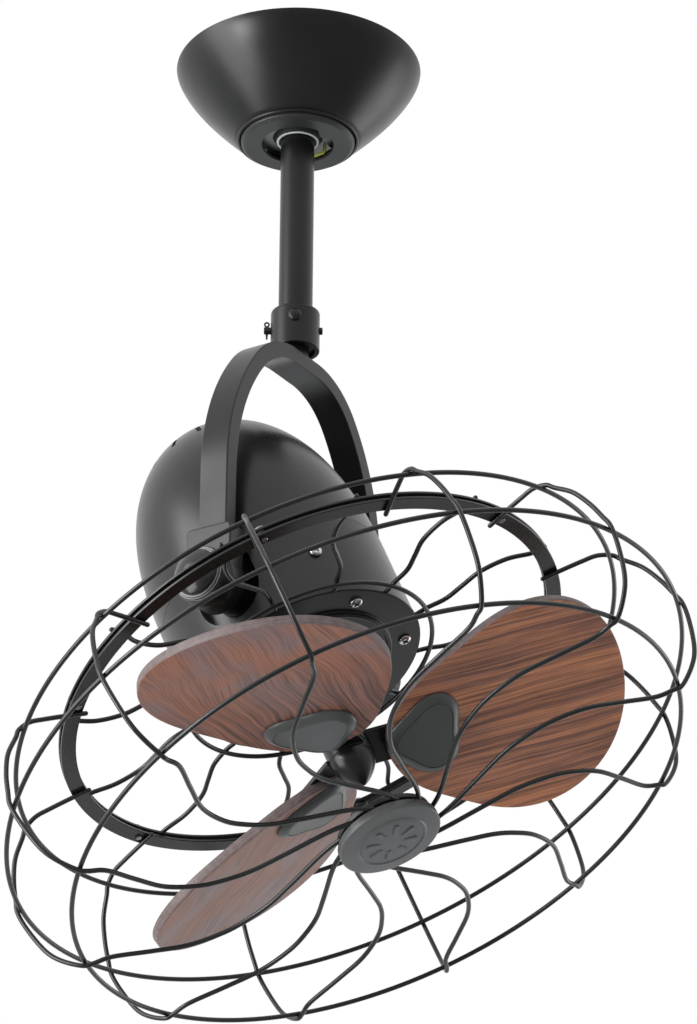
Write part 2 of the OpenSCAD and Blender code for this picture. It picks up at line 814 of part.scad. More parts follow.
// Outline of the arch and its two legs, in the plane of the yoke.
module arch_section() {
    steps = 9;
    last = 2 * steps;
    right = arch_points(0, steps);
    inner = arch_points(yoke_t, steps);
    left = [for (i = [last : -1 : 0]) [-right[i][0], right[i][1]]];
    inner_left = [for (i = [0 : last]) [-inner[i][0], inner[i][1]]];
    inner_right = [for (i = [last : -1 : 0]) inner[i]];
    leg_end = lug_h / 2;
    polygon(concat([[yoke_half, leg_end]], right, left, [[-yoke_half, leg_end]],
        [[-leg_in_x, leg_end]], inner_left, inner_right, [[leg_in_x, leg_end]]));
}

// Outline of the block at a leg's end: square above with soft corners, round below.
module lug_outline() {
    circle(r = lug_half_w);
    translate([-lug_top_half_w, 0])
        square([2 * lug_top_half_w, lug_h - lug_corner]);
    translate([-lug_top_half_w + lug_corner, 0])
        square([2 * (lug_top_half_w - lug_corner), lug_h]);
    for (side = [-1, 1])
        translate([side * (lug_top_half_w - lug_corner), lug_h - lug_corner])
            circle(r = lug_corner, $fn = 32);
}

// Hollow threaded nipple that joins the yoke to the collar and lets the leads through.
module yoke_nipple() color("silver") {
    low = yoke_top_z - nipple_depth + small_gap;
    washer(nipple_r, nipple_r - nipple_wall, low, web_top_z + nut_t + 0.4 - low);
}

// Nut that holds the nipple above the collar's web.
module nipple_nut() color("silver")
    translate([0, 0, web_top_z])
        difference() {
            cylinder(r = nut_af / sqrt(3), h = nut_t, $fn = 6);
            translate([0, 0, -1])
                cylinder(r = nipple_r + small_gap, h = nut_t + 2);
        }

// Washer that the collar's web rests on when the yoke turns.
module swivel_washer() color("#555555")
    washer(washer_r, nipple_r + small_gap, web_z - swivel_t(), swivel_t());

// Trim ring on the end of each barrel.
module pivot_rings() color("#555555")
    translate([0, 0, -pivot_drop])
        both_pivots()
            washer(pivot_ring_r, recess_r, barrel_out_x, pivot_ring_t);

// Domed cap that hides each pivot bolt.
module pivot_caps() color("#222222") {
    rim = 2;
    sphere_r = (pow(pivot_cap_r, 2) + pow(pivot_cap_dome, 2)) / (2 * pivot_cap_dome);
    translate([0, 0, -pivot_drop])
        both_pivots() {
            translate([0, 0, barrel_out_x - 2])
                cylinder(r = recess_r - small_gap, h = pivot_ring_t + 2);
            translate([0, 0, cap_base_x])
                cylinder(r = pivot_cap_r, h = rim);
            intersection() {
                translate([0, 0, cap_base_x + rim + pivot_cap_dome - sphere_r])
                    sphere(r = sphere_r);
                translate([0, 0, cap_base_x + rim])
                    cylinder(r = pivot_cap_r, h = pivot_cap_dome + 1);
            }
        }
}

// Shoulder bolt at each side: it is fixed in the housing and turns in the yoke.
module pivot_bolts() color("silver")
    translate([0, 0, -pivot_drop])
        both_pivots() {
            translate([0, 0, pocket_x - boss_l])
                cylinder(r = bolt_r, h = recess_x + face_gap - pocket_x + boss_l + 1);
            translate([0, 0, recess_x + face_gap])
                cylinder(r = bolt_head_r, h = bolt_head_t);
        }

// Friction washer between each pocket's floor and the yoke's neck.
module friction_washers() color("#1c1c1c")
    translate([0, 0, -pivot_drop])
        both_pivots()
            washer(neck_r, bolt_r + small_gap, pocket_x, friction_t);

// ---- Motor housing ----

// Radius of the rounded tail at a distance behind the pivot, for a skin inset by wall.
function tail_r(back, wall) =
    (house_r - wall) * sqrt(max(0, 1 - pow((back - house_seam)
        / (house_tail - house_seam - wall), tail_k)));

// Egg-shaped rear cover with a ring of radial vents.
module rear_cover() color("#2b2b2b")
    at_head()
        difference() {
            rotate_extrude() {
                steps = 22;
                outside = [for (i = [0 : steps])
                    let (b = house_seam + (house_tail - house_seam) * sin(90 * i / steps))
                        [tail_r(b, 0), -b]];
                inside = [for (i = [steps : -1 : 0])
                    let (b = house_seam
                        + (house_tail - house_seam - house_wall) * sin(90 * i / steps))
                        [tail_r(b, house_wall), -b]];
                polygon(concat(outside, inside));
            }
            around(vent_count)
                translate([vent_in_r, -vent_w / 2, -house_tail])
                    cube([vent_out_r - vent_in_r, vent_w, house_tail - house_seam - house_r / 2]);
        }

// Places the side screws, level with the pivots: one to each side of each pocket.
module at_side_screws()
    for (side = [0, 180])
        for (hand = [-1, 1])
            rotate([0, 0, side + hand * side_screw_angle])
                rotate([0, 90, 0])
                    children();

// Round-ended pocket that a pivot sits in, along +Z outwards, inset by wall.
module pocket(wall, floor_x) {
    translate([0, 0, floor_x])
        cylinder(r = pocket_r + wall, h = house_r);
    translate([-wall, -pocket_r - wall, floor_x])
        cube([pocket_back + 2 * wall, 2 * (pocket_r + wall), house_r]);
}

// Front part of the housing: it carries the pivots and the guard.
module motor_housing() color("#333333")
    at_head()
        difference() {
            union() {
                rotate_extrude() {
                    polygon([[house_r - house_wall, -house_seam], [house_r, -house_seam],
                        [house_front_r, house_front],
                        [house_front_r - house_wall, house_front]]);
                    translate([house_front_r - flange_w, house_front - flange_t])
                        square([flange_w - house_wall / 2, flange_t]);
                    translate([house_r - 2 * house_wall, -house_seam - 5])
                        square([house_wall - 3 * small_gap, 8]);
                }
                intersection() {
                    for (side = [0, 180])
                        rotate([0, 90, side])
                            pocket(house_wall, pocket_x - house_wall);
                    translate([0, 0, -house_seam])
                        cylinder(r = house_front_r - house_wall / 2, h = house_seam + house_front);
                }
                both_pivots()
                    translate([0, 0, pocket_x - boss_l])
                        cylinder(r = bolt_r + 6, h = boss_l);
            }
            for (side = [0, 180])
                rotate([0, 90, side])
                    pocket(0, pocket_x);
            both_pivots()
                translate([0, 0, pocket_x - boss_l - 1])
                    cylinder(r = bolt_r + small_gap, h = boss_l + 2);
            at_side_screws()
                cylinder(r = side_screw_r + small_gap, h = 2 * house_r);
            around(plate_screw_count, plate_screw_angle)
                translate([plate_screw_at, 0, house_front - flange_t - 1])
                    cylinder(r = side_screw_r + small_gap, h = flange_t + 2);
        }

// Bright pan head screws in the housing's sides, into the motor's bracket.
module side_screws() color("silver")
    at_head()
        at_side_screws()
            translate([0, 0, house_r + small_gap])
                pan_screw(side_screw_r, 8, side_head_r, 2.2);

// Front plate with a raised ring and a hole for the shaft.
module front_plate() color("#262626")
    at_head()
        difference() {
            union() {
                translate([0, 0, house_front])
                    cylinder(r = front_plate_r, h = plate_t);
                washer(raised_r, raised_r - 3, house_front, plate_t + raised_h);
            }
            translate([0, 0, house_front - 1])
                cylinder(r = plate_hole_r, h = plate_t + 2);
            around(plate_screw_count, plate_screw_angle)
                translate([plate_screw_at, 0, house_front - 1])
                    cylinder(r = side_screw_r + small_gap, h = plate_t + 2);
        }

// Screws that hold the front plate to the housing's flange.
module front_plate_screws() color("silver")
    at_head()
        around(plate_screw_count, plate_screw_angle)
            translate([plate_screw_at, 0, plate_front])
                pan_screw(side_screw_r, plate_t + flange_t + 2, side_head_r, 2.2);

// ---- Motor ----

// Through bolt places, in the thickness of the stator's rim.
module at_through_bolts()
    around(4, 45)
        translate([bell_bolt_at, 0, 0])
            children();

// Pressed cup that the side screws hold. The front bearing and the stator sit behind its face.
module motor_bracket() color("silver")
    at_head()
        difference() {
            union() {
                washer(house_r - 2 * house_wall - head_slack, bearing_r - 2,
                    bracket_at, bell_wall);
                washer(house_r - 2 * house_wall - head_slack,
                    house_r - 2 * house_wall - bell_wall,
                    bracket_front - skirt_l, skirt_l);
                washer(bearing_r + bell_wall, bearing_r,
                    front_bearing_at, bearing_w + small_gap);
                washer(stator_r, stator_r - 2 * bell_wall, stator_front,
                    bracket_at - stator_front + small_gap);
            }
            for (side = [0, 180])
                rotate([0, 90, side])
                    pocket(house_wall + 1.5, pocket_x - house_wall - 1.5);
            both_pivots()
                translate([0, 0, pocket_x - boss_l - 1])
                    cylinder(r = bolt_r + 7, h = boss_l);
            at_side_screws()
                cylinder(r = side_screw_r + small_gap, h = 2 * house_r);
            at_through_bolts()
                translate([0, 0, stator_front - 1])
                    cylinder(r = through_r + small_gap, h = bracket_front - stator_front + 2);
        }

// Laminated stator with its slots.
module stator_core() color("gray")
    at_head()
        difference() {
            washer(stator_r, stator_bore_r, stator_rear, stator_l);
            around(stator_slots)
                translate([stator_bore_r + 3, -2.6, stator_rear - 1])
                    cube([stator_r - stator_bore_r - 3 - 2.5 * bell_wall, 5.2, stator_l + 2]);
            at_through_bolts()
                translate([0, 0, stator_rear - 1])
                    cylinder(r = through_r + small_gap, h = stator_l + 2);
        }

// Copper coil heads at both ends of the stator.
module windings() color("#b87333")
    at_head() {
        coil_at = (stator_bore_r + stator_r - 2 * bell_wall) / 2;
        torus(coil_at, coil_r, stator_front + coil_r);
        torus(coil_at, coil_r, stator_rear - coil_r);
    }

// End bell that closes the motor and holds the rear bearing.
module motor_bell() color("silver")
    at_head()
        difference() {
            union() {
                washer(stator_r, stator_r - 2 * bell_wall, bell_rear, stator_rear - bell_rear);
                washer(stator_r, shaft_r + 1, bell_rear, bell_wall);
                washer(bearing_r + bell_wall, bearing_r, bell_rear, bearing_w + bell_wall);
            }
            at_through_bolts()
                translate([0, 0, bell_rear - 1])
                    cylinder(r = through_r + small_gap, h = stator_rear - bell_rear + 2);
        }

// Four bolts through the bell, the stator and the bracket.
module through_bolts() color("silver")
    at_head()
        at_through_bolts()
            translate([0, 0, bell_rear])
                rotate([180, 0, 0])
                    pan_screw(through_r, bracket_front - bell_rear - 1, 3, 2.2);

// Front and rear ball bearings.
module bearings() color("silver")
    at_head()
        for (at = [front_bearing_at, bell_rear + bell_wall])
            washer(bearing_r - small_gap, shaft_r + bearing_fit, at, bearing_w);

// Run capacitor behind the end bell.
module capacitor() color("#eeeeee")
    at_head()
        translate([-cap_l / 2, bearing_r + 8, bell_rear - cap_h])
            cube([cap_l, cap_w, cap_h]);

// ---- Turning parts ----

// Steel shaft from the rear bearing to the nose cone.
module motor_shaft() color("lightgray")
    at_head() {
        low = bell_rear + 1;
        step = blade_at - hub_back;
        translate([0, 0, low])
            cylinder(r = shaft_r, h = step - low);
        translate([0, 0, step])
            cylinder(r = shaft_tip_r, h = hub_face + nose_l * 0.45 - step);
    }

// Squirrel-cage rotor pressed on the shaft.
module rotor_core() color("#8a8a8a")
    at_head()
        washer(stator_bore_r - air_gap, shaft_r, stator_rear, stator_l);

// Puts a blade's own frame in place: X along the blade, +Z towards the front.
module at_blade(i)
    rotate([0, 0, blade_angle + i * 360 / blade_count])
        translate([0, 0, blade_at])
            rotate([-blade_pitch, 0, 0])
                children();

// Outline of a soft triangle with one corner towards the hub, inset by rim.
function pad_points(rim) = [
    for (t = [0 : 10 : 350])
        let (rho = pad_size - rim + 2.3 * cos(t) - 1.7 * cos(2 * t) - 3.3 * cos(3 * t))
            [pad_mid + rho * cos(t), pad_side + rho * sin(t)]];

// Screw places on a blade, one towards each corner of its pad.
module at_blade_screws()
    for (t = [60, 180, 300])
        translate([pad_mid + pad_screw_at * cos(t), pad_side + pad_screw_at * sin(t)])
            children();

// Hub with three flat arms that lie behind the blades.
module blade_hub() color("#2b2b2b")
    at_head()
        difference() {
            union() {
                translate([0, 0, blade_at - hub_back])
                    cylinder(r = hub_r, h = hub_back + hub_front);
                for (i = [0 : blade_count - 1])
                    at_blade(i)
                        translate([0, 0, blade_back - arm_t])
                            linear_extrude(arm_t) {
                                polygon(pad_points(1));
                                translate([shaft_r + 3, -arm_w / 2])
                                    square([pad_mid - shaft_r - 3, arm_w]);
                            }
            }
            translate([0, 0, blade_at - hub_back - 1])
                cylinder(r = shaft_tip_r + small_gap, h = hub_back + hub_front + 2);
            for (i = [0 : blade_count - 1])
                at_blade(i)
                    at_blade_screws()
                        cylinder(r = blade_screw_r + small_gap, h = 4 * blade_t, center = true);
        }

// Radius of a blade's outline about its own centre, at angle t from the blade's length.
function blade_rho(t) = blade_size + 9.4 * cos(t) + 3.9 * cos(2 * t) - 5.7 * cos(3 * t)
    - 3.4 * sin(t) - 0.4 * sin(2 * t) - 0.4 * sin(3 * t);

// Plywood paddle blade with a walnut face.
module blade(i) color("#6b3f2a")
    at_head()
        at_blade(i)
            translate([0, 0, blade_back])
                difference() {
                    linear_extrude(blade_t)
                        polygon([for (t = [0 : 6 : 354])
                            [blade_mid + blade_rho(t) * cos(t),
                             blade_side + blade_rho(t) * sin(t)]]);
                    at_blade_screws()
                        translate([0, 0, -1])
                            cylinder(r = blade_screw_r + small_gap, h = blade_t + 2);
                }
module blade_a() blade(0);
module blade_b() blade(1);
module blade_c() blade(2);

// Bevelled pad on the front of each blade, which the screws from behind pull down.
module blade_pads() color("#2b2b2b")
    at_head()
        for (i = [0 : blade_count - 1])
            at_blade(i)
                translate([0, 0, blade_front])
                    hull() {
                        linear_extrude(pad_edge)
                            polygon(pad_points(0));
                        linear_extrude(pad_t)
                            polygon(pad_points(pad_bevel));
                    }

// Screws through the arms and the blades, up to the pads.
module blade_screws() color("silver")
    at_head()
        for (i = [0 : blade_count - 1])
            at_blade(i)
                at_blade_screws()
                    translate([0, 0, blade_back - arm_t])
                        rotate([180, 0, 0])
                            pan_screw(blade_screw_r, arm_t + blade_t, blade_head_r, 2.2);

// Rounded nose cone screwed on the end of the shaft.
module nose_cone() color("#1c1c1c")
    at_head()
        translate([0, 0, hub_face])
            difference() {
                rotate_extrude() {
                    steps = 14;
                    polygon(concat([[0, 0]], [for (i = [0 : steps])
                        let (s = i / steps)
                            [hub_r * pow(1 - pow(s, 1.7), 0.85), nose_l * s]]));
                }
                translate([0, 0, -1])
                    cylinder(r = shaft_tip_r + small_gap, h = nose_l * 0.5 + 1);
            }

// ---- Guard ----

// Flat band of the rear guard.
module rear_band() color("#2b2b2b")
    at_head()
        band(rear_band_back);

// Flat band of the front guard.
module front_band() color("#2b2b2b")
    at_head()
        band(front_band_back);

// A flat band with holes for its screws.
module band(z)
    difference() {
        washer(band_r, band_r - band_w, z, band_t);
        around(band_screw_count, band_screw_angle)
            translate([band_mid_r, 0, z - 1])
                cylinder(r = side_screw_r + small_gap, h = band_t + 2);
    }

// Ring round the front plate, which the rear wires cross behind.
module inner_ring() color("#2b2b2b")
    at_head()
        torus(inner_ring_r, wire_r, inner_ring_at);

// Ring at the back of the cage.
module back_ring() color("#2b2b2b")
    at_head()
        torus(back_ring_r, wire_r, back_ring_at);

// Widest ring of the cage.
module middle_ring() color("#2b2b2b")
    at_head()
        torus(middle_ring_r, wire_r, middle_ring_at);

// Ring at the front of the cage.
module front_ring() color("#2b2b2b")
    at_head()
        torus(front_ring_r, wire_r, front_ring_at);

// Distance of a wire's middle from the middle of a ring that it crosses.
lap = 2 * wire_r + small_gap;

// A front wire's points, as [outwards, sideways, forward]: along the band, round the three
// rings on their outside, then in a curl over the front to the cap.
function front_wire_points() =
    let (on_band = band_at + wire_r + small_gap,
        over_front = front_ring_at + lap,
        slope = (wire_end_at - over_front) / (front_ring_r - back_plate_r),
        rise = function (r) over_front + slope * (front_ring_r - r))
        concat([
            [band_r - 1.15 * band_w, 0, on_band],
            [band_r, 0, on_band],
            [(band_r + back_ring_r) / 2, 0, on_band + 0.15 * lap],
            [back_ring_r - 2 * lap, 0, back_ring_at - 2.2 * lap],
            [back_ring_r + 0.72 * lap, 0, back_ring_at - 0.72 * lap],
            [back_ring_r + 2 * lap, 0, back_ring_at + 1.1 * lap]],
            [for (f = BACK_SHARES) between_rings(f, back_ring_r, back_ring_at)],
            [[middle_ring_r + lap, 0, middle_ring_at]],
            [for (f = FRONT_SHARES) between_rings(f, front_ring_r, front_ring_at)],
            [[front_ring_r + 0.76 * lap, 0, front_ring_at + 0.68 * lap],
            [front_ring_r - 1.3 * lap, curl * 0.04, rise(front_ring_r - 1.3 * lap)]],
            [for (f = CURL_SHARES)
                let (r = back_plate_r + f[0] * (front_ring_r - back_plate_r))
                    [r, curl * f[1], rise(r)]],
            [[back_plate_r - lap, curl * -0.43, wire_end_at]]);

// A point between a ring and the middle ring, from its shares of the way out and along.
function between_rings(f, ring_r, ring_at) =
    [ring_r + f[0] * (middle_ring_r - ring_r), 0, ring_at + f[1] * (middle_ring_at - ring_at)];

// Those shares behind the middle ring, and in front of it.
BACK_SHARES = [[0.66, 0.29], [0.92, 0.573], [1.06, 0.825]];
FRONT_SHARES = [[1.042, 0.71], [0.82, 0.35], [0.53, 0.138]];

// Where the curl bends over the front: share of the way out, and share of the curl.
CURL_SHARES = [[0.904, 0.1], [0.777, 0.5], [0.645, 0.88], [0.506, 1], [0.398, 0.9],
    [0.313, 0.72], [0.235, 0.44], [0.163, 0.16], [0.09, -0.13], [0.036, -0.31]];

// Twelve bent wires of the front guard.
module front_wires() color("#2b2b2b")
    at_head()
        around(wire_count, front_wire_angle)
            bar(smooth_path(front_wire_points(), 2), wire_r);

// A rear wire's points: from behind the band, in a shallow wave, to the front plate's rim.
function rear_wire_points() =
    let (on_band = rear_band_back - wire_r - small_gap,
        at_ring = inner_ring_at - lap,
        slope = (on_band - at_ring) / (band_mid_r - inner_ring_r),
        place = function (f, c)
            [inner_ring_r + f * (band_r - inner_ring_r), rear_curl * c,
                at_ring + slope * f * (band_r - inner_ring_r)])
        [
            [band_r - 0.1 * band_w, 0, on_band],
            [band_r - band_w, 0, on_band],
            place(0.7, 0.95), place(0.486, 1), place(0.319, 0.15), place(0.164, -0.65),
            place(0.012, -0.67),
            [front_plate_r + head_slack, rear_curl * -0.6, house_front + plate_t / 2]];

// Twelve bent wires of the rear guard.
module rear_wires() color("#2b2b2b")
    at_head()
        around(wire_count, rear_wire_angle)
            bar(smooth_path(rear_wire_points(), 2), wire_r);

// Spacer washers between the two bands.
module band_spacers() color("#444444")
    at_head()
        around(band_screw_count, band_screw_angle)
            translate([band_mid_r, 0, 0])
                washer(4, side_screw_r + small_gap, rear_band_front, band_gap);

// Screws from behind that join the rear guard to the tapped front band.
module band_screws() color("#777777")
    at_head()
        around(band_screw_count, band_screw_angle)
            translate([band_mid_r, 0, rear_band_back])
                rotate([180, 0, 0])
                    pan_screw(side_screw_r, band_at - rear_band_back + 1.4, 4, 2.4);

// ---- Centre cap ----

// Plate that holds the wires' inner ends against the cap.
module back_plate() color("#1c1c1c")
    at_head()
        washer(back_plate_r, side_screw_r + small_gap,
            back_plate_front - back_plate_t, back_plate_t);

// Height of the cap's dome at a distance from its middle.
function dome_z(r) = cap_at - cap_dome * pow(r / cap_r, 2);

// Round cap with a raised ring and a plain ring of short ribs.
module centre_cap() color("#333333")
    at_head()
        difference() {
            union() {
                rotate_extrude() {
                    steps = 8;
                    polygon(concat([[0, cap_edge - cap_wall]],
                        [for (i = [0 : steps])
                            let (r = (cap_r - 1) * i / steps) [r, dome_z(r)]],
                        [[cap_r, cap_edge - 1], [cap_r, cap_edge - cap_rim],
                            [cap_r - cap_wall, cap_edge - cap_rim],
                            [cap_r - cap_wall, cap_edge - cap_wall]]));
                    translate([0, cap_seat])
                        square([back_plate_r, cap_edge - cap_seat - 1]);
                }
                washer(cap_r * 0.69, cap_r * 0.69 - 1.4, cap_edge,
                    dome_z(cap_r * 0.69) - cap_edge + emboss);
                around(rib_count)
                    translate([cap_r * 0.24, -1.3, cap_edge])
                        cube([cap_r * 0.26, 2.6, dome_z(cap_r * 0.5) - cap_edge + emboss]);
            }
            translate([0, 0, cap_seat - 1])
                cylinder(r = side_screw_r + small_gap, h = 6);
        }

// Screw from behind that draws the plate to the cap.
module cap_screw() color("silver")
    at_head()
        translate([0, 0, back_plate_front - back_plate_t])
            rotate([180, 0, 0])
                pan_screw(side_screw_r, cap_seat + 4 - back_plate_front + back_plate_t, 4, 2.4);

ceiling_bracket();
canopy();
canopy_screws();
canopy_ring();
terminal_block();
earth_wire();
hanger_ball();
ball_pin();
downrod();
yoke_collar();
collar_screw();
clevis_pin();
split_pin();
yoke();
yoke_nipple();
nipple_nut();
swivel_washer();
pivot_rings();
pivot_caps();
pivot_bolts();
friction_washers();
rear_cover();
motor_housing();
side_screws();
front_plate();
front_plate_screws();
motor_bracket();
stator_core();
windings();
motor_bell();
through_bolts();
bearings();
capacitor();
motor_shaft();
rotor_core();
blade_hub();
blade_a();
blade_b();
blade_c();
blade_pads();
blade_screws();
nose_cone();
rear_band();
inner_ring();
rear_wires();
front_band();
back_ring();
middle_ring();
front_ring();
front_wires();
band_spacers();
band_screws();
back_plate();
centre_cap();
cap_screw();
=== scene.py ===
from math import asin, atan2, cos, pi, radians, sin, sqrt

import bmesh
import bpy
from mathutils import Matrix, Vector


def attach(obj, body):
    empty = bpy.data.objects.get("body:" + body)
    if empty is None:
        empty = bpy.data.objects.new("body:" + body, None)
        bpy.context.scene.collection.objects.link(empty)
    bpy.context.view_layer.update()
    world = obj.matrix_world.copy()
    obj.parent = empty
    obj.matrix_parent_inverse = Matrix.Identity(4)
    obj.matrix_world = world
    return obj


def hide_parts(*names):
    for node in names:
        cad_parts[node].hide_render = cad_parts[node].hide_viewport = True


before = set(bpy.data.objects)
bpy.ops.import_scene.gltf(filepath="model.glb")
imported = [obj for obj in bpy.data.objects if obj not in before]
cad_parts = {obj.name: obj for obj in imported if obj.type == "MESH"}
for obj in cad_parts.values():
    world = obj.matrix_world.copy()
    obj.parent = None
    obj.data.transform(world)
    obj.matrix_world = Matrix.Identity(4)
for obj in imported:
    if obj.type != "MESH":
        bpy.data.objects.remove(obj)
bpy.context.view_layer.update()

# ---- Camera ----
# The photographer stood low, to the left and in front, and looked up at the fan through a
# long lens. The place, in metres, was worked out from the guard's rings, the yoke and the rod.
camera = bpy.data.objects.new("camera", bpy.data.cameras.new("camera"))
camera.data.sensor_width = 36
camera.data.lens = 129.03
camera_right = Vector((0.52199, -0.85293, 0.00620))
camera_up = Vector((-0.35601, -0.21125, 0.91029))
camera_back = camera_right.cross(camera_up)
camera_place = Vector((-1.7813, -1.1378, -1.2838)) + 0.0006 * camera_right + 0.0005 * camera_up
camera.matrix_world = (
    Matrix.Translation(camera_place)
    @ Matrix((camera_right, camera_up, camera_back)).transposed().to_4x4()
)
bpy.context.scene.collection.objects.link(camera)
bpy.context.scene.camera = camera
bpy.context.scene.view_settings.view_transform = "Standard"


# ---- Studio ----
# A white studio, darker around and below the photographer, a pale floor well below the fan
# and large cloth-covered lamps: a tall one on the left with a smaller one before it, and two
# weak ones, behind on the right and below.
def feed(tree, made, inputs):
    """Gives a node its inputs, by name or number: plain values, or other nodes' outputs."""
    for socket, value in inputs.items():
        if isinstance(value, bpy.types.NodeSocket):
            tree.links.new(value, made.inputs[socket])
        else:
            made.inputs[socket].default_value = value


def node(tree, kind, inputs=(), **settings):
    """Adds a shader node with its settings and its inputs."""
    made = tree.nodes.new("ShaderNode" + kind)
    for name, value in settings.items():
        setattr(made, name, value)
    feed(tree, made, dict(inputs))
    return made


def between(tree, source, low, high, start=0.3, end=0.7):
    """Spreads a value that runs from start to end over low to high."""
    limits = {"From Min": start, "From Max": end, "To Min": low, "To Max": high}
    return node(tree, "MapRange", {"Value": source, **limits}).outputs["Result"]


def empty_tree(owner):
    """The node tree of a material or a world, with nothing in it."""
    owner.use_nodes = True
    owner.node_tree.nodes.clear()
    return owner.node_tree


studio = bpy.data.worlds.new("studio")
bpy.context.scene.world = studio
tree = empty_tree(studio)
ray = node(tree, "LightPath").outputs
seen = node(tree, "Background", {"Color": (1, 1, 1, 1), "Strength": 1.0})
shade = node(tree, "Background", {"Color": (0.95, 0.97, 1, 1), "Strength": 0.85})
dark_side = (camera_back - 0.6 * camera_up + 0.15 * camera_right).normalized()
looking = node(tree, "TexCoord").outputs["Generated"]
towards_dark = node(tree, "VectorMath", {0: looking, 1: dark_side}, operation="DOT_PRODUCT")
walls = between(tree, towards_dark.outputs["Value"], 1.0, 0.25, -0.3, 0.75)
room = node(tree, "Background", {"Color": walls, "Strength": 1.0})
mirrored = node(
    tree, "MixShader", {0: ray["Is Glossy Ray"], 1: shade.outputs[0], 2: room.outputs[0]}
)
seen_or_through = node(
    tree, "Math", {0: ray["Is Camera Ray"], 1: ray["Is Transmission Ray"]}, operation="MAXIMUM"
)
blend = node(
    tree, "MixShader", {0: seen_or_through.outputs[0], 1: mirrored.outputs[0], 2: seen.outputs[0]}
)
node(tree, "OutputWorld", {"Surface": blend.outputs[0]})

fan_middle = Vector((0, -0.03, -0.33))
for name, sideways, above, towards, wide, tall, watts in [
    ("lamp_left", -1.35, 0.12, 0.5, 0.9, 1.95, 25),
    ("lamp_near", -1.2, 0.2, 0.9, 0.4, 0.5, 7),
    ("lamp_right", 1.3, -0.6, -0.7, 0.8, 0.8, 4),
    ("lamp_low", 0.3, -1.5, 0.6, 0.9, 0.9, 4),
]:
    lamp = bpy.data.objects.new(name, bpy.data.lights.new(name, "AREA"))
    lamp.data.shape = "RECTANGLE"
    lamp.data.size, lamp.data.size_y = wide, tall
    lamp.data.energy = watts
    place = fan_middle + sideways * camera_right + above * camera_up + towards * camera_back
    lamp.location = place
    lamp.rotation_mode = "QUATERNION"
    lamp.rotation_quaternion = (fan_middle - place).to_track_quat("-Z", "Y")
    bpy.context.scene.collection.objects.link(lamp)

floor_drop, floor_half = 1.7, 6.0  # metres
floor_white, floor_painted_shade = 0.88, 0.28  # the second in gloss, on the photographer's side
floor_mesh = bpy.data.meshes.new("floor")
floor_corners = [(-1, -1), (1, -1), (1, 1), (-1, 1)]
floor_mesh.from_pydata(
    [(floor_half * x, floor_half * y, -floor_drop) for x, y in floor_corners], [], [(0, 1, 2, 3)]
)
floor = bpy.data.objects.new("floor", floor_mesh)
bpy.context.scene.collection.objects.link(floor)
floor_paint = bpy.data.materials.new("floor_paint")
tree = empty_tree(floor_paint)
spot = node(tree, "TexCoord").outputs["Object"]
# Seen in reflections only, the floor is painted darker on the photographer's side: painted shade
# for the dark room there.
near_side = (-0.852, -0.524, 0)
nearness = node(tree, "VectorMath", {0: spot, 1: near_side}, operation="DOT_PRODUCT")
painted_shade_in_gloss = between(tree, nearness.outputs["Value"], floor_white, floor_painted_shade, -1.3, -0.2)
in_gloss = node(tree, "LightPath").outputs["Is Glossy Ray"]
paint = node(tree, "BsdfDiffuse", {"Color": between(tree, in_gloss, floor_white, painted_shade_in_gloss, 0, 1)})
from_below = node(tree, "NewGeometry").outputs["Backfacing"]
clear = node(tree, "BsdfTransparent")
mix = node(tree, "MixShader", {0: from_below, 1: paint.outputs[0], 2: clear.outputs[0]})
node(tree, "OutputMaterial", {"Surface": mix.outputs[0]})
floor_mesh.materials.append(floor_paint)


# ---- Ceiling bracket ----
# A pressed strap of zinc-plated sheet that two screws hold to the ceiling. Its cup carries
# the hanger ball. The same plating is on the screws, nuts and bolts that nobody sees.
def noise(tree, scale, detail, where, output="Fac"):
    """A cloud of noise of that many waves per metre, on the piece's own coordinates."""
    cloud = node(tree, "TexNoise", {"Scale": scale, "Detail": detail, "Vector": where})
    return cloud.outputs[output]


def tones(tree, source, *steps):
    """A colour that wanders through tones, each given with its place from 0 to 1."""
    made = node(tree, "ValToRGB", {"Fac": source})
    ramp = made.color_ramp.elements
    for at, tone in steps[2:]:
        ramp.new(at)
    for step, (at, tone) in zip(ramp, sorted(steps)):
        step.position = at
        step.color = (*tone, 1)
    return made.outputs["Color"]


def bumps(tree, height, depth):
    """A surface roughened by a height from 0 to 1 over a depth in metres."""
    return node(tree, "Bump", {"Height": height, "Distance": depth}).outputs["Normal"]


def shaded(name):
    """A new material, with its node tree and its surface shader."""
    made = bpy.data.materials.new(name)
    made.use_nodes = True
    return made, made.node_tree, made.node_tree.nodes["Principled BSDF"]


def coat(name, dark, light, rough, metal=0.0, speckle=700, gloss=0.5):
    """A paint, plating or moulded finish: two tones, uneven gloss and a fine skin."""
    made, tree, surface = shaded(name)
    where = node(tree, "TexCoord").outputs["Object"]
    finish = {
        "Base Color": tones(tree, noise(tree, 14, 3, where), (0.32, dark), (0.68, light)),
        "Roughness": between(tree, noise(tree, 45, 4, where), rough - 0.03, rough + 0.03),
        "Metallic": metal,
        "Specular IOR Level": gloss,
        "Normal": bumps(tree, noise(tree, speckle, 2, where), 0.00002),
    }
    feed(tree, surface, finish)
    return made


def dress(material, *names):
    """Gives CAD nodes their finish."""
    for name in names:
        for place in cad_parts[name].material_slots:
            place.material = material


zinc = coat("zinc_plate", (0.42, 0.43, 0.44), (0.6, 0.6, 0.58), 0.34, 1.0, 400)
# A darker copy of the zinc plating for the strap alone: painted shade, where it sits inside the
# canopy.
painted_shade_zinc = coat("painted_shade_zinc_plate", (0.12, 0.125, 0.125), (0.2, 0.205, 0.2), 0.4, 1.0, 400)
dress(painted_shade_zinc, "ceiling_bracket")


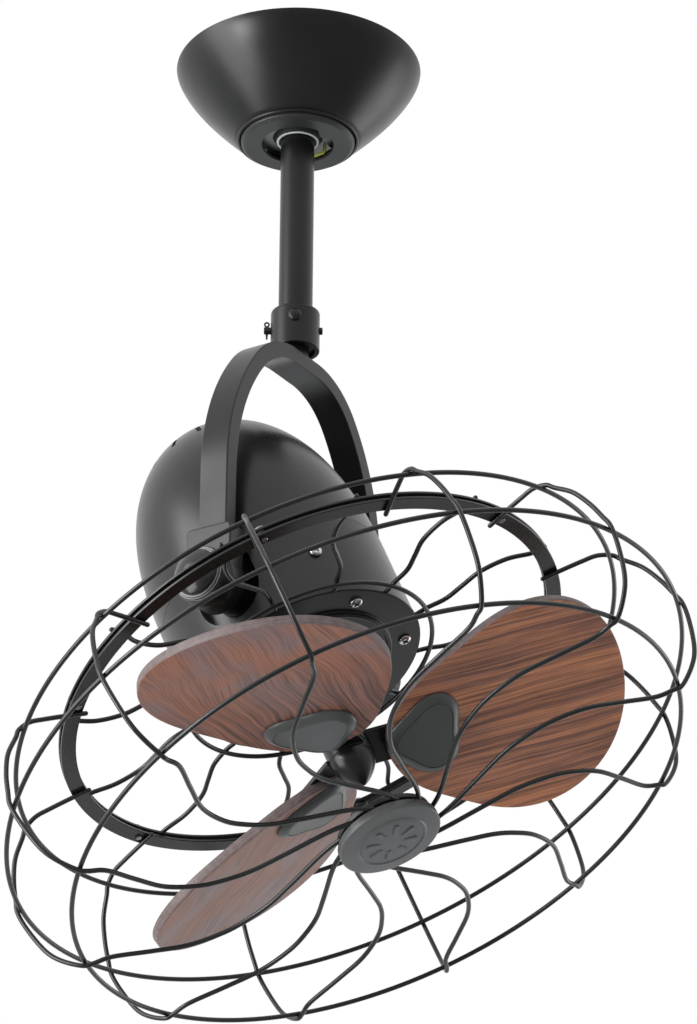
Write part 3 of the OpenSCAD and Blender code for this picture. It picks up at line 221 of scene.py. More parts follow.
# ---- Canopy ----
# A bowl spun from 1.2 mm steel sheet with a rolled lip, powder-coated in satin black. Its
# inner flange is screwed up against the plate that carries the ball.
def corners(mesh, points, place=None):
    """Adds corners to a bmesh at points in millimetres, moved to a place."""
    place = place or Matrix()
    return [mesh.verts.new(place @ (Vector(p) * 0.001)) for p in points]


def turned(mesh, profile, steps=128, closed=True, place=None):
    """Adds a turned shape to a bmesh: its profile is (radius, height), spun round the Z axis."""
    rings = []
    for r, z in profile:
        angles = [2 * pi * k / steps for k in range(1 if r < 1e-6 else steps)]
        rings.append(corners(mesh, [(r * cos(a), r * sin(a), z) for a in angles], place))
    for low, high in zip(rings, rings[1:] + (rings[:1] if closed else [])):
        for k in range(steps if len(low) + len(high) > 2 else 0):
            n = (k + 1) % steps
            if len(low) == 1:
                mesh.faces.new((low[0], high[n], high[k]))
            elif len(high) == 1:
                mesh.faces.new((low[k], low[n], high[0]))
            else:
                mesh.faces.new((low[k], low[n], high[n], high[k]))


def made_piece(name, mesh, material, body, replaced=(), place=None, sharp=35):
    """Turns a bmesh into a smooth piece that rides on a body and replaces CAD nodes."""
    data = bpy.data.meshes.new(name)
    bmesh.ops.recalc_face_normals(mesh, faces=mesh.faces)
    mesh.to_mesh(data)
    mesh.free()
    if place:
        data.transform(place)
    data.shade_smooth()
    data.set_sharp_from_angle(angle=radians(sharp))
    for one in material if isinstance(material, list) else [material]:
        data.materials.append(one)
    piece = bpy.data.objects.new(name, data)
    bpy.context.scene.collection.objects.link(piece)
    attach(piece, body)
    if replaced:
        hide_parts(*replaced)


canopy_r, canopy_depth, canopy_lip_r, canopy_wall, lip_r = 81.5, 52.0, 40.0, 1.2, 1.08
canopy_hole_r, flange_z, bowl_steps = 25.5, -50.0, 40
flange_low = flange_z - canopy_wall


def on_bowl(step, wall=0.0):
    """A point of the bowl's profile, counted from the ceiling down to the lip."""
    share = step / bowl_steps
    r = canopy_lip_r + (canopy_r - canopy_lip_r) * (1 - share**1.35)
    return r - wall, -share * canopy_depth


satin_black = coat(
    "satin_black_coat", (0.0045, 0.0047, 0.0043), (0.0075, 0.0078, 0.0072), 0.31, gloss=0.42
)
profile = [on_bowl(step) for step in range(bowl_steps)]
profile += [
    (canopy_lip_r - 0.6 + lip_r * cos(radians(a)), 0.1 - canopy_depth - lip_r * sin(radians(a)))
    for a in range(-40, 181, 20)
]
profile += [
    (canopy_lip_r - 2.2, flange_low),
    (canopy_lip_r - 3, flange_low),
    (canopy_hole_r + 0.4, flange_low),
    (canopy_hole_r, flange_low + 0.3),
    (canopy_hole_r, flange_z),
    (canopy_lip_r - 1.5, flange_z),
]
profile += [on_bowl(step, canopy_wall) for step in range(bowl_steps - 3, -1, -1)]
mesh = bmesh.new()
turned(mesh, profile, 160)
made_piece("canopy_bowl", mesh, satin_black, "ceiling_part", ["canopy"], sharp=40)

# ---- Canopy screws ----
# Two zinc-plated pan head screws that draw the canopy's flange up to the bracket.
dress(zinc, "canopy_screws")


# ---- Canopy ring ----
# A moulded cover ring that twists on over the canopy screws. Its rim is rounded, with a fine
# bead inside it, and a small tab beside the hole stops it when it is home.
def soften(profile, radius, steps=4, closed=True):
    """Rounds a profile's corners. A corner may name its own radius as its third number."""
    made = []
    count = len(profile)
    for i, corner in enumerate(profile):
        here = Vector(corner[:2])
        reach = corner[2] if len(corner) > 2 else radius
        if (not closed and i in (0, count - 1)) or reach == 0:
            made.append(here)
            continue
        back = Vector(profile[i - 1][:2]) - here
        ahead = Vector(profile[(i + 1) % count][:2]) - here
        half_turn = back.angle(ahead) / 2
        cut = reach / max(1e-6, sin(half_turn) / cos(half_turn))
        cut = min(cut, 0.4 * back.length, 0.4 * ahead.length)
        back.normalize()
        ahead.normalize()
        lead = 0.3 * cut
        made.append(here + back * (cut + lead))
        for k in range(steps + 1):
            t = k / steps
            start, end = here + back * cut, here + ahead * cut
            made.append(start * (1 - t) ** 2 + here * 2 * t * (1 - t) + end * t**2)
        made.append(here + ahead * (cut + lead))
    return made


def joined(mesh, rings):
    """Joins rings of as many corners each with faces, and closes both ends."""
    for low, high in zip(rings, rings[1:]):
        for k in range(len(low)):
            n = (k + 1) % len(low)
            mesh.faces.new((low[k], low[n], high[n], high[k]))
    mesh.faces.new(list(reversed(rings[0])))
    mesh.faces.new(rings[-1])


def slab(mesh, outline, layers, place=None):
    """Adds a flat solid: the outline inset by each layer's first number, at its second."""
    points = [Vector(p) for p in outline]
    inward = []
    for i in range(len(points)):
        along = (points[(i + 1) % len(points)] - points[i - 1]).normalized()
        inward.append(Vector((-along.y, along.x)))
    rings = []
    for inset, height in layers:
        ring = [(p.x + n.x * inset, p.y + n.y * inset, height) for p, n in zip(points, inward)]
        rings.append(corners(mesh, ring, place))
    joined(mesh, rings)


trim_black = coat(
    "satin_black_trim", (0.013, 0.014, 0.0135), (0.019, 0.02, 0.019), 0.42, speckle=300
)
ring_r, ring_hole_r, ring_z, ring_depth, ring_wall = 37.7, 23.8, -55.8, 4.6, 1.4
profile = [
    (ring_hole_r, ring_z, 0.4),
    (ring_r - 3.3, ring_z, 0.1),
    (ring_r - 3.0, ring_z, 0.1),
    (ring_r - 2.6, ring_z + 0.35, 0.1),
    (ring_r - 1.9, ring_z + 0.2, 0.15),
    (ring_r, ring_z + 1.6, 1.0),
    (ring_r, ring_z + ring_depth, 0.3),
    (ring_r - ring_wall, ring_z + ring_depth, 0.3),
    (ring_r - ring_wall, ring_z + ring_wall, 0.1),
    (ring_hole_r + ring_wall, ring_z + ring_wall, 0.1),
    (ring_hole_r + ring_wall, ring_z + 1.6 * ring_wall, 0.3),
    (ring_hole_r, ring_z + 1.6 * ring_wall, 0.3),
]
mesh = bmesh.new()
turned(mesh, soften(profile, 0.3, 3), 160)
tab = [(-11.6, -23.0), (-2.2, -18.6), (0.6, -19.4), (2.4, -24.4)]
slab(mesh, tab, [(0, ring_z + 0.05), (0, ring_z + 1.1)])
made_piece("canopy_cover_ring", mesh, trim_black, "ceiling_part", ["canopy_ring"])

# ---- Terminal block ----
# A white moulded block with three brass terminals inside, under the strap.
white_nylon = coat("white_nylon", (0.72, 0.72, 0.7), (0.8, 0.8, 0.78), 0.5)
dress(white_nylon, "terminal_block")


# ---- Earth wire ----
# A stranded earth lead in a yellow and green sleeve. It bends round beside the rod, where it
# shows in the ring's hole, and goes up again to the strap.
def smooth_path(points, steps):
    """A smooth curve through the points, with that many steps between two of them."""
    pts = [Vector(p) for p in points]
    path = []
    for i in range(len(pts) - 1):
        a, b = pts[max(i - 1, 0)], pts[i]
        c, d = pts[i + 1], pts[min(i + 2, len(pts) - 1)]
        bow, swing = 2 * a - 5 * b + 4 * c - d, 3 * b - a - 3 * c + d
        for s in range(steps):
            t = s / steps
            path.append(0.5 * (2 * b + (c - a) * t + bow * t * t + swing * t * t * t))
    return path + [pts[-1]]


def round_bar(mesh, path, radius, sides=12):
    """Adds a round bar with rounded ends along a path to a bmesh."""
    last = len(path) - 1
    tangents = [
        (path[min(i + 1, last)] - path[max(i - 1, 0)]).normalized() for i in range(last + 1)
    ]
    end_shares = [(share, radius * sqrt(1 - share * share) * 0.9) for share in (0.25, 0.6, 0.85)]
    stations = [(path[0] - tangents[0] * reach, tangents[0], share) for share, reach in end_shares]
    stations += [(point, tangent, 1.0) for point, tangent in zip(path, tangents)]
    for share, reach in reversed(end_shares):
        stations.append((path[-1] + tangents[-1] * reach, tangents[-1], share))
    normal = tangents[0].orthogonal().normalized()
    angles = [2 * pi * k / sides for k in range(sides)]
    rings = []
    for point, tangent, share in stations:
        normal = (normal - tangent * normal.dot(tangent)).normalized()
        other = tangent.cross(normal)
        ring = [point + radius * share * (cos(a) * normal + sin(a) * other) for a in angles]
        rings.append(corners(mesh, ring))
    joined(mesh, rings)


earth_r, earth_bend_r, earth_half_angle, block_h, bracket_t = 1.2, 22.0, 23, 9.0, 2.0
earth_low = flange_low - earth_r
lug_z = -bracket_t - 0.3


def beside_rod(angle, z):
    return earth_bend_r * cos(radians(angle)), earth_bend_r * sin(radians(angle)), z


leg_low = earth_low + 3 * earth_r
earth_path = [beside_rod(-earth_half_angle, z) for z in (lug_z - block_h, earth_low / 2, leg_low)]
earth_path += [beside_rod(earth_half_angle * 0.8 * i / 3, earth_low) for i in range(-3, 4)]
earth_path += [beside_rod(earth_half_angle, z) for z in (leg_low, earth_low / 2, lug_z - 0.6)]
earth_sleeve = coat("earth_sleeve", (0.3, 0.32, 0.03), (0.45, 0.47, 0.07), 0.42, speckle=900)
mesh = bmesh.new()
round_bar(mesh, smooth_path(earth_path, 6), earth_r, 14)
made_piece("earth_lead", mesh, earth_sleeve, "ceiling_part", ["earth_wire"])

# ---- Hanger ball and its pin ----
# A matt black moulded ball that swings in the bracket's cup, slotted for the zinc-plated pin
# through the rod. A pale ring in the flat under it is a painted highlight: the thin light rim
# round the rod.
ball_z, ball_r, ball_flat_r = -40.38, 19.0, 14.0
matt_black = coat(
    "matt_black_moulding", (0.008, 0.008, 0.008), (0.014, 0.014, 0.014), 0.6, gloss=0.3
)
dress(matt_black, "hanger_ball")
dress(zinc, "ball_pin")
# A pale ring as a painted highlight, for the light rim round the rod.
painted_rim_highlight = coat("painted_rim_highlight", (0.38, 0.42, 0.41), (0.48, 0.52, 0.51), 0.45)
rim_z = ball_z - sqrt(ball_r**2 - ball_flat_r**2)
profile = [
    (ball_flat_r - 1.5, rim_z - 0.5),
    (ball_flat_r - 0.2, rim_z - 0.5),
    (ball_flat_r + 0.1, rim_z + 0.3),
    (ball_flat_r - 1.5, rim_z + 0.3),
]
mesh = bmesh.new()
turned(mesh, soften(profile, 0.2, 3), 96)
made_piece("hanger_ball_rim", mesh, painted_rim_highlight, "hanging_rod")

# ---- Downrod ----
# A 22 mm steel tube with 1.5 mm walls, powder-coated like the canopy. Its ends are deburred
# and it stands on the collar's web.
rod_r, rod_wall, rod_foot, rod_top = 11.1, 1.5, -202.0, -20.38
rod_in_r = rod_r - rod_wall
profile = [(rod_r, rod_foot), (rod_r, rod_top), (rod_in_r, rod_top), (rod_in_r, rod_foot)]
mesh = bmesh.new()
turned(mesh, soften(profile, 0.4, 3), 96)
made_piece("downrod_tube", mesh, satin_black, "hanging_rod", ["downrod"])

# ---- Yoke collar ----
# Turned from bar, bored from both ends round a thin web, with a rounded shoulder and an open
# mouth towards the yoke. Powder-coated, so its edges are soft.
collar_r, collar_foot, collar_top, mouth_r = 15.9, -209.0, -181.0, 13.0
web_low, web_top, rod_play, nipple_bore_r = -205.0, -202.06, 0.05, 5.05  # the nut has 0.06 play
profile = [
    (mouth_r, collar_foot, 0.5),
    (collar_r, collar_foot, 0.7),
    (collar_r, collar_top, 3.6),
    (rod_r + 0.4, collar_top, 0.3),
    (rod_r + rod_play, collar_top - 0.6, 0.1),
    (rod_r + rod_play, web_top, 0.1),
    (nipple_bore_r, web_top, 0.1),
    (nipple_bore_r, web_low, 0.1),
    (mouth_r, web_low, 0.6),
]
mesh = bmesh.new()
turned(mesh, soften(profile, 0.5, 6), 128)
made_piece("yoke_collar_sleeve", mesh, satin_black, "hanging_rod", ["yoke_collar"])


# ---- Collar screw ----
# A plain button head screw that keeps the rod from turning in the collar, painted over.
def turn(degrees, axis="Z"):
    return Matrix.Rotation(radians(degrees), 4, axis)


def shift(x, y, z):
    """A move in millimetres."""
    return Matrix.Translation(Vector((x, y, z)) * 0.001)


pin_angle = -58.5
screw_z, screw_head_r, screw_shank_r = web_top + 12, 4.4, 2.5
profile = [
    (0, rod_r - collar_r),
    (screw_shank_r, rod_r - collar_r),
    (screw_shank_r, -0.5),
    (screw_head_r - 0.2, -0.5),
    (screw_head_r, -0.2),
    (screw_head_r, 0.5),
    (screw_head_r - 0.15, 0.9),
    (screw_head_r - 0.6, 1.5),
    (screw_head_r - 1.3, 2.0),
    (screw_head_r - 2.4, 2.4),
    (0, 2.6),
]
mesh = bmesh.new()
turned(mesh, profile, 48, closed=False)
place = shift(0, 0, screw_z) @ turn(pin_angle - 90) @ turn(90, "Y") @ shift(0, 0, collar_r)
made_piece(
    "collar_button_screw", mesh, satin_black, "hanging_rod", ["collar_screw"], place
)

# ---- Clevis pin and its split pin ----
# A dark oxide steel pin through collar and rod, domed at one end and drilled at the other,
# where a split pin of bent wire keeps it in.
dark_steel = coat("dark_oxide_steel", (0.03, 0.03, 0.03), (0.06, 0.06, 0.06), 0.35, 0.9, 500)
pin_z, pin_r, pin_head_reach, pin_tail_reach, split_r = -194.0, 2.4, 1.9, 4.4, 0.7
profile = [
    (0, -collar_r - pin_tail_reach, 0),
    (pin_r, -collar_r - pin_tail_reach, 0.7),
    (pin_r, collar_r + pin_head_reach, 0.9),
    (0, collar_r + pin_head_reach, 0),
]
mesh = bmesh.new()
turned(mesh, soften(profile, 0.7, 5, closed=False), 48, closed=False)
place = shift(0, 0, pin_z) @ turn(pin_angle) @ turn(90, "Y")
made_piece("cross_pin", mesh, dark_steel, "hanging_rod", ["clevis_pin"], place)
split_x = collar_r + pin_tail_reach - split_r - 1.2
split_eye_r, leg, split_wire_r = 2 * split_r, pin_r + 3.4 * split_r, split_r * 0.85
eye_z = pin_r + split_eye_r + split_r
loop = [(0.2, 0, -leg + split_r), (0.3, 0, 0), (0.4, 0, pin_r)]
for a in range(25, 340, 15):
    loop.append((split_eye_r * sin(radians(a)), 0, eye_z - split_eye_r * cos(radians(a))))
one_end = [(0.2, 0, -leg + 2 * split_r), (0, 0.3, -leg + 0.7), (0, 1.9, -leg - 0.1)]
other_end = [(-0.3, 0, pin_r + 0.5), (-0.2, 0, 0), (-0.2, 0, -leg + 2 * split_r)]
other_end += [(0, -0.3, -leg + 0.7), (0, -1.9, -leg - 0.1)]
mesh = bmesh.new()
round_bar(mesh, [Vector(p) for p in loop], split_wire_r)
for end in (one_end, other_end):
    round_bar(mesh, smooth_path(end, 4), split_wire_r)
place = turn(pin_angle) @ shift(-split_x, 0, pin_z)
made_piece("bent_split_pin", mesh, dark_steel, "hanging_rod", ["split_pin"], place)


# ---- Yoke ----
# A 20 by 10.8 mm bar bent into an arch, with a welded block and a turned barrel at each end
# and a boss for the nipple on top. Its edges are softened by the powder coat.
def soft_layers(low, high, radius, steps=3):
    """Layers for a slab from low to high whose edges are rounded to a radius."""
    angles = [pi / 2 * k / steps for k in range(steps + 1)]
    made = [(radius * 1.4, low)]
    made += [(radius * (1 - sin(a)), low + radius * (1 - cos(a))) for a in angles]
    made += [(radius * (1 - cos(a)), high - radius * (1 - sin(a))) for a in angles]
    return made + [(radius * 1.4, high)]


def cut_from(stock, cutter):
    """Takes one bmesh out of another and gives back what is left of it."""
    used = []
    for shape in (stock, cutter):
        data = bpy.data.meshes.new("cut")
        bmesh.ops.recalc_face_normals(shape, faces=shape.faces)
        shape.to_mesh(data)
        shape.free()
        used.append(bpy.data.objects.new("cut", data))
        bpy.context.scene.collection.objects.link(used[-1])
    cut = used[0].modifiers.new("cut", "BOOLEAN")
    cut.operation, cut.solver, cut.use_self, cut.object = "DIFFERENCE", "EXACT", True, used[1]
    bpy.context.view_layer.update()
    finished = used[0].evaluated_get(bpy.context.evaluated_depsgraph_get())
    made = bmesh.new()
    made.from_mesh(finished.to_mesh())
    finished.to_mesh_clear()
    for one in used:
        data = one.data
        bpy.data.objects.remove(one)
        bpy.data.meshes.remove(data)
    return made


def unit(angle):
    return Vector((cos(angle), sin(angle)))


pivot_drop, yoke_rise, yoke_half, yoke_t, yoke_w = 404.0, 189.4, 90.7, 10.8, 20.0
yoke_spring, leg_bend_r, leg_turn = 78.0, 140.0, radians(40)
lug_half_w, lug_h, lug_top_half_w, lug_corner, lug_out_x = 18.0, 35.5, 16.0, 3.0, 94.7
leg_in_x, barrel_out_x, recess_x, recess_r = 79.9, 104.2, 94.2, 11.0
neck_r, neck_in_x = 13.0, 64.0
bolt_bore_r, boss_r, boss_rise, edge_r, bend_steps = 5.05, 9.0, 7.6, 0.9, 24
wide_mid = Vector((yoke_half - leg_bend_r, yoke_spring))
bend_end = wide_mid + leg_bend_r * unit(leg_turn)
crown_r = (yoke_rise - bend_end.y) / (1 - sin(leg_turn))
tight_mid = bend_end - crown_r * unit(leg_turn)
stations = [(Vector((yoke_half, lug_h / 2)), unit(0)), (Vector((yoke_half, lug_h)), unit(0))]
for k in range(bend_steps + 1):
    a = leg_turn * k / bend_steps
    stations.append((wide_mid + leg_bend_r * unit(a), unit(a)))
for k in range(1, bend_steps + 1):
    a = leg_turn + (pi / 2 - leg_turn) * k / bend_steps
    stations.append((tight_mid + crown_r * unit(a), unit(a)))
stations += [(Vector((-p.x, p.y)), Vector((-n.x, n.y))) for p, n in reversed(stations[:-1])]
bar = [(0, -yoke_w / 2), (0, yoke_w / 2), (yoke_t, yoke_w / 2), (yoke_t, -yoke_w / 2)]
section = soften(bar, edge_r, 3)
mesh = bmesh.new()
rings = []
for outer, normal in stations:
    ring = [(outer.x - normal.x * s.x, s.y, outer.y - normal.y * s.x) for s in section]
    rings.append(corners(mesh, ring))
joined(mesh, rings)
meet = atan2(sqrt(lug_half_w**2 - lug_top_half_w**2), lug_top_half_w)
lug_outline = [lug_half_w * unit(meet - (pi + 2 * meet) * k / 48) for k in range(49)]
top_arc = [lug_corner * unit(pi / 2 * k / 6) for k in range(7)]
lug_outline += [(lug_corner - lug_top_half_w - c.x, lug_h - lug_corner + c.y) for c in top_arc]
lug_outline += [(lug_top_half_w - lug_corner + c.y, lug_h - lug_corner + c.x) for c in top_arc]
lug_outline.reverse()
neck_profile = [
    (bolt_bore_r, neck_in_x, 0.1),
    (neck_r, neck_in_x, 0.5),
    (neck_r, leg_in_x + 2, 0.1),
    (bolt_bore_r, leg_in_x + 2, 0.1),
]
barrel_profile = [
    (recess_r, lug_out_x - 1, 0.1),
    (lug_half_w - 0.4, lug_out_x - 1, 0.1),
    (lug_half_w - 0.4, lug_out_x + 0.4, 0.1),
    (lug_half_w, lug_out_x + 0.9, 0.2),
    (lug_half_w, barrel_out_x, 0.9),
    (recess_r, barrel_out_x, 0.3),
]
bore_profile = [
    (0, neck_in_x - 4),
    (bolt_bore_r, neck_in_x - 4),
    (bolt_bore_r, recess_x),
    (recess_r, recess_x),
    (recess_r, barrel_out_x + 1.8),
    (0, barrel_out_x + 1.8),
]
mirrors = [Matrix.Scale(side, 4, (1, 0, 0)) for side in (-1, 1)]
to_side = Matrix(((0, 0, 1, 0), (1, 0, 0, 0), (0, 1, 0, 0), (0, 0, 0, 1)))
pivot_sides = [mirror @ to_side for mirror in mirrors]
bores = bmesh.new()
for place in pivot_sides:
    slab(mesh, lug_outline, soft_layers(leg_in_x, lug_out_x, edge_r), place)
    turned(mesh, soften(neck_profile, 0.5), 96, place=place)
    turned(mesh, soften(barrel_profile, 0.5), 96, place=place)
    turned(bores, bore_profile, 64, closed=False, place=place)
boss_top, boss_foot = yoke_rise + boss_rise, yoke_rise - 2
profile = [(0, boss_foot, 0), (boss_r, boss_foot, 0.1), (boss_r, boss_top, 0.5), (0, boss_top, 0)]
turned(mesh, soften(profile, 0.5, closed=False), 64, closed=False)
bore_foot, bore_top = yoke_rise - 6.6, yoke_rise + 12
profile = [(0, bore_foot), (nipple_bore_r, bore_foot), (nipple_bore_r, bore_top), (0, bore_top)]
turned(bores, profile, 48, closed=False)
mesh = cut_from(mesh, bores)
yoke_place = shift(0, 0, -pivot_drop)
made_piece("yoke_arch", mesh, satin_black, "yoke_part", ["yoke"], yoke_place, 32)

# ---- Nipple, its nut and the swivel washer ----
# The zinc-plated nipple is screwed into the crown of the yoke, and its nut hangs on the web.
# An oxide-black washer lets the yoke turn under the collar.
dress(zinc, "yoke_nipple", "nipple_nut")
dress(dark_steel, "swivel_washer")

# ---- Pivot rings ----
# A turned trim ring on the end of each barrel, with two polished beads and a groove between.
ring_steel = coat(
    "pivot_ring_trim", (0.05, 0.05, 0.05), (0.085, 0.085, 0.085), 0.28, speckle=400, gloss=0.7
)
pivot_ring_r, pivot_ring_t = 17.0, 2.4
profile = [
    (recess_r, barrel_out_x, 0.1),
    (pivot_ring_r - 0.5, barrel_out_x, 0.1),
    (pivot_ring_r, barrel_out_x + 0.5, 0.3),
    (pivot_ring_r, barrel_out_x + 1.3, 0.4),
    (pivot_ring_r - 0.9, barrel_out_x + 1.2, 0.15),
    (pivot_ring_r - 1.0, barrel_out_x + pivot_ring_t, 0.4),
    (pivot_ring_r - 2.6, barrel_out_x + pivot_ring_t, 0.3),
    (recess_r, barrel_out_x + pivot_ring_t, 0.1),
]
mesh = bmesh.new()
for place in pivot_sides:
    turned(mesh, soften(profile, 0.3, 3), place=place)
made_piece(
    "pivot_trim_rings", mesh, ring_steel, "yoke_part", ["pivot_rings"], yoke_place
)

# ---- Pivot caps ----
# Moulded domes, glossier than the paint, pressed into the barrels over the pivot bolts.
cap_black = coat("glossy_black_cap", (0.01, 0.01, 0.01), (0.014, 0.014, 0.014), 0.22, speckle=250)
pivot_cap_r, pivot_cap_dome, cap_base_x, dome_steps = 14.7, 5.0, 106.6, 16
profile = []
for k in range(dome_steps + 1):
    share = k / dome_steps
    bulge = pivot_cap_dome * (1 - share**2) * (1 + 0.12 * share**2)
    profile.append(((pivot_cap_r - 0.5) * share, cap_base_x + 2 + bulge))
profile += [
    (pivot_cap_r - 0.1, cap_base_x + 1.6),
    (pivot_cap_r, cap_base_x + 1.2),
    (pivot_cap_r, cap_base_x + 0.3),
    (pivot_cap_r - 0.3, cap_base_x),
    (recess_r - 0.05, cap_base_x),
    (recess_r - 0.05, barrel_out_x - 1.8),
    (recess_r - 0.4, barrel_out_x - 2),
    (0, barrel_out_x - 2),
]
mesh = bmesh.new()
for place in pivot_sides:
    turned(mesh, profile, 96, closed=False, place=place)
made_piece(
    "pivot_dome_caps", mesh, cap_black, "yoke_part", ["pivot_caps"], yoke_place
)

# ---- Pivot bolts and friction washers ----
# Zinc-plated shoulder bolts are fixed in the housing and turn in the yoke. A matt black fibre
# washer at each side holds the head where it is tilted to.
dress(zinc, "pivot_bolts")
dress(matt_black, "friction_washers")


# ---- Motor housing ----
# A die-cast shell with a round-ended pocket at each side for the pivots, powder-coated. The
# side screws go through it, and a fine joint divides it from the rear cover.
def pocket_outline(wide, back):
    arc = [(wide * sin(pi * k / 32), wide * cos(pi * k / 32)) for k in range(33)]
    return [(-back, -wide), (-back, wide)] + arc


def join(mesh, added):
    """Adds a bmesh to another."""
    data = bpy.data.meshes.new("added")
    added.to_mesh(data)
    added.free()
    mesh.from_mesh(data)
    bpy.data.meshes.remove(data)


head_tilt = 25.8  # degrees from straight down, as photographed
head_frame = yoke_place @ turn(180 - head_tilt, "X")
house_r, house_front_r, house_front, house_seam, house_wall = 75.0, 73.5, 30.0, 28.0, 2.5
pocket_x, pocket_r, pocket_back, flange_w, flange_t = 62.0, 22.0, 25.0, 16.0, 3.0
pocket_end_x, wall_end_r, bolt_pad_r = 90.0, 72.6, 11.0
house_in_r, sleeve_r = house_r - 2 * house_wall, house_r - house_wall - 0.15
shell_black = coat("housing_coat", (0.0045, 0.005, 0.0047), (0.0075, 0.008, 0.0077), 0.29)
profile = [
    (house_r - house_wall, -house_seam, 0.1),
    (house_r, -house_seam, 0.5),
    (house_front_r, house_front, 0.9),
    (house_front_r - flange_w, house_front, 0.5),
    (house_front_r - flange_w, house_front - flange_t, 0.5),
    (house_front_r - house_wall, house_front - flange_t, 0.5),
    (sleeve_r, -house_seam + 3, 0.1),
    (sleeve_r, -house_seam - 5, 0.1),
    (house_in_r, -house_seam - 5, 0.1),
    (house_in_r, -house_seam, 0.1),
]
mesh = bmesh.new()
turned(mesh, soften(profile, 0.5, 4), 192)
pockets, walls = bmesh.new(), bmesh.new()
along_x = Matrix(((0, 0, 1, 0), (0, 1, 0, 0), (1, 0, 0, 0), (0, 0, 0, 1)))
pad_low, pad_high = pocket_x - 8, pocket_x - 1
bolt_pad = [(0, pad_low), (bolt_pad_r, pad_low), (bolt_pad_r, pad_high), (0, pad_high)]
pocket = pocket_outline(pocket_r, pocket_back)
wall_outline = pocket_outline(pocket_r + house_wall, pocket_back + house_wall)
for mirror in mirrors:
    slab(pockets, pocket, [(0, pocket_x), (0, pocket_end_x)], mirror @ along_x)
    slab(walls, wall_outline, [(0, pocket_x - house_wall), (0, pocket_end_x)], mirror @ along_x)
    turned(mesh, bolt_pad, 48, closed=False, place=mirror @ to_side)
for corner in walls.verts:  # the walls' outer ends follow the shell's roundness
    if abs(corner.co.x) > 0.08:
        round_x = sqrt((wall_end_r * 0.001) ** 2 - corner.co.y**2)
        corner.co.x *= round_x / (pocket_end_x * 0.001)
join(mesh, walls)
mesh = cut_from(mesh, pockets)
made_piece(
    "motor_shell", mesh, shell_black, "head", ["motor_housing"], head_frame, 30
)

# ---- Rear cover ----
# A deep-drawn egg-shaped cover over the motor's back, with sixteen vent slots round its tail.
house_tail, tail_k, vent_count, vent_w, vent_in_r, vent_out_r = 161.8, 2.6, 16, 3.0, 36.0, 50.0


def tail_profile(wall):
    """From the seam to the tail's tip, with stations where the vents begin and end."""
    deep = house_tail - house_seam - wall
    shares = [sin(pi / 2 * k / 40) for k in range(41)]
    for at in (vent_out_r, vent_in_r):
        shares.append((1 - (at / (house_r - wall)) ** 2) ** (1 / tail_k))
    return [
        ((house_r - wall) * sqrt(1 - share**tail_k), -house_seam - deep * share)
        for share in sorted(shares)
    ]


sector, per_sector = 2 * pi / vent_count, 12
around = vent_count * per_sector
mesh = bmesh.new()
skins = []
for wall in (0.0, house_wall):
    rings = []
    for r, z in tail_profile(wall):
        if r < 1e-6:
            rings.append(corners(mesh, [(0, 0, z)]))
            continue
        half = asin(min(sin(sector / 4), vent_w / 2 / r))
        between_vents = (sector - 2 * half) / (per_sector - 1)
        angles = [-half] + [half + between_vents * j for j in range(per_sector - 1)]
        angles = [a + k * sector for k in range(vent_count) for a in angles]
        rings.append(corners(mesh, [(r * cos(a), r * sin(a), z) for a in angles]))
    skins.append(rings)
depths = [r for r, z in tail_profile(0.0)]
vented = [
    vent_in_r - 0.01 < min(a, b) and max(a, b) < vent_out_r + 0.01
    for a, b in zip(depths, depths[1:])
]
outer, inner = skins
for i, in_vents in enumerate(vented):
    low, high, low_in, high_in = outer[i], outer[i + 1], inner[i], inner[i + 1]
    for k in range(around):
        n = (k + 1) % around
        if len(high) == 1:
            mesh.faces.new((low[k], low[n], high[0]))
            mesh.faces.new((low_in[n], low_in[k], high_in[0]))
        elif not (in_vents and k % per_sector == 0):
            mesh.faces.new((low[k], low[n], high[n], high[k]))
            mesh.faces.new((low_in[n], low_in[k], high_in[k], high_in[n]))
        else:
            mesh.faces.new((low[k], high[k], high_in[k], low_in[k]))
            mesh.faces.new((low[n], low_in[n], high_in[n], high[n]))
            if not vented[i - 1]:
                mesh.faces.new((low[k], low_in[k], low_in[n], low[n]))
            if not vented[i + 1]:
                mesh.faces.new((high[k], high[n], high_in[n], high_in[k]))
for k in range(around):
    n = (k + 1) % around
    mesh.faces.new((outer[0][k], inner[0][k], inner[0][n], outer[0][n]))
made_piece("motor_tail_cover", mesh, shell_black, "head", ["rear_cover"], head_frame)


# ---- Side screws ----
# Bright plated pan head screws with cross recesses, one to each side of each pocket, which go
# through the housing into the motor's bracket.
def screw(mesh, place, head_r, head_h, shank_r, shank_l):
    """Adds a pan head screw along Z, with the underside of its head at 0 and a cross recess."""
    profile = [(0, -shank_l), (shank_r - 0.4, -shank_l), (shank_r, 0.4 - shank_l), (shank_r, -0.02)]
    profile += [(head_r - 0.15, 0), (head_r, 0.15)]
    for across, up in [(1, 0.35), (0.965, 0.55), (0.88, 0.76), (0.74, 0.92), (0.6, 1), (0, 1)]:
        profile.append((head_r * across, head_h * up))
    body, recess = bmesh.new(), bmesh.new()
    turned(body, profile, 40, closed=False)
    arm, thick = head_r * 0.6, head_r * 0.16
    cross = [(arm, -thick), (arm, thick), (thick * 1.5, thick * 1.5)]
    for _ in range(3):
        cross += [(-y, x) for x, y in cross[-3:]]
    slab(recess, cross, [(head_r * 0.06, head_h * 0.05), (0, head_h + 0.5)])
    body = cut_from(body, recess)
    bmesh.ops.transform(body, matrix=place, verts=body.verts)
    join(mesh, body)


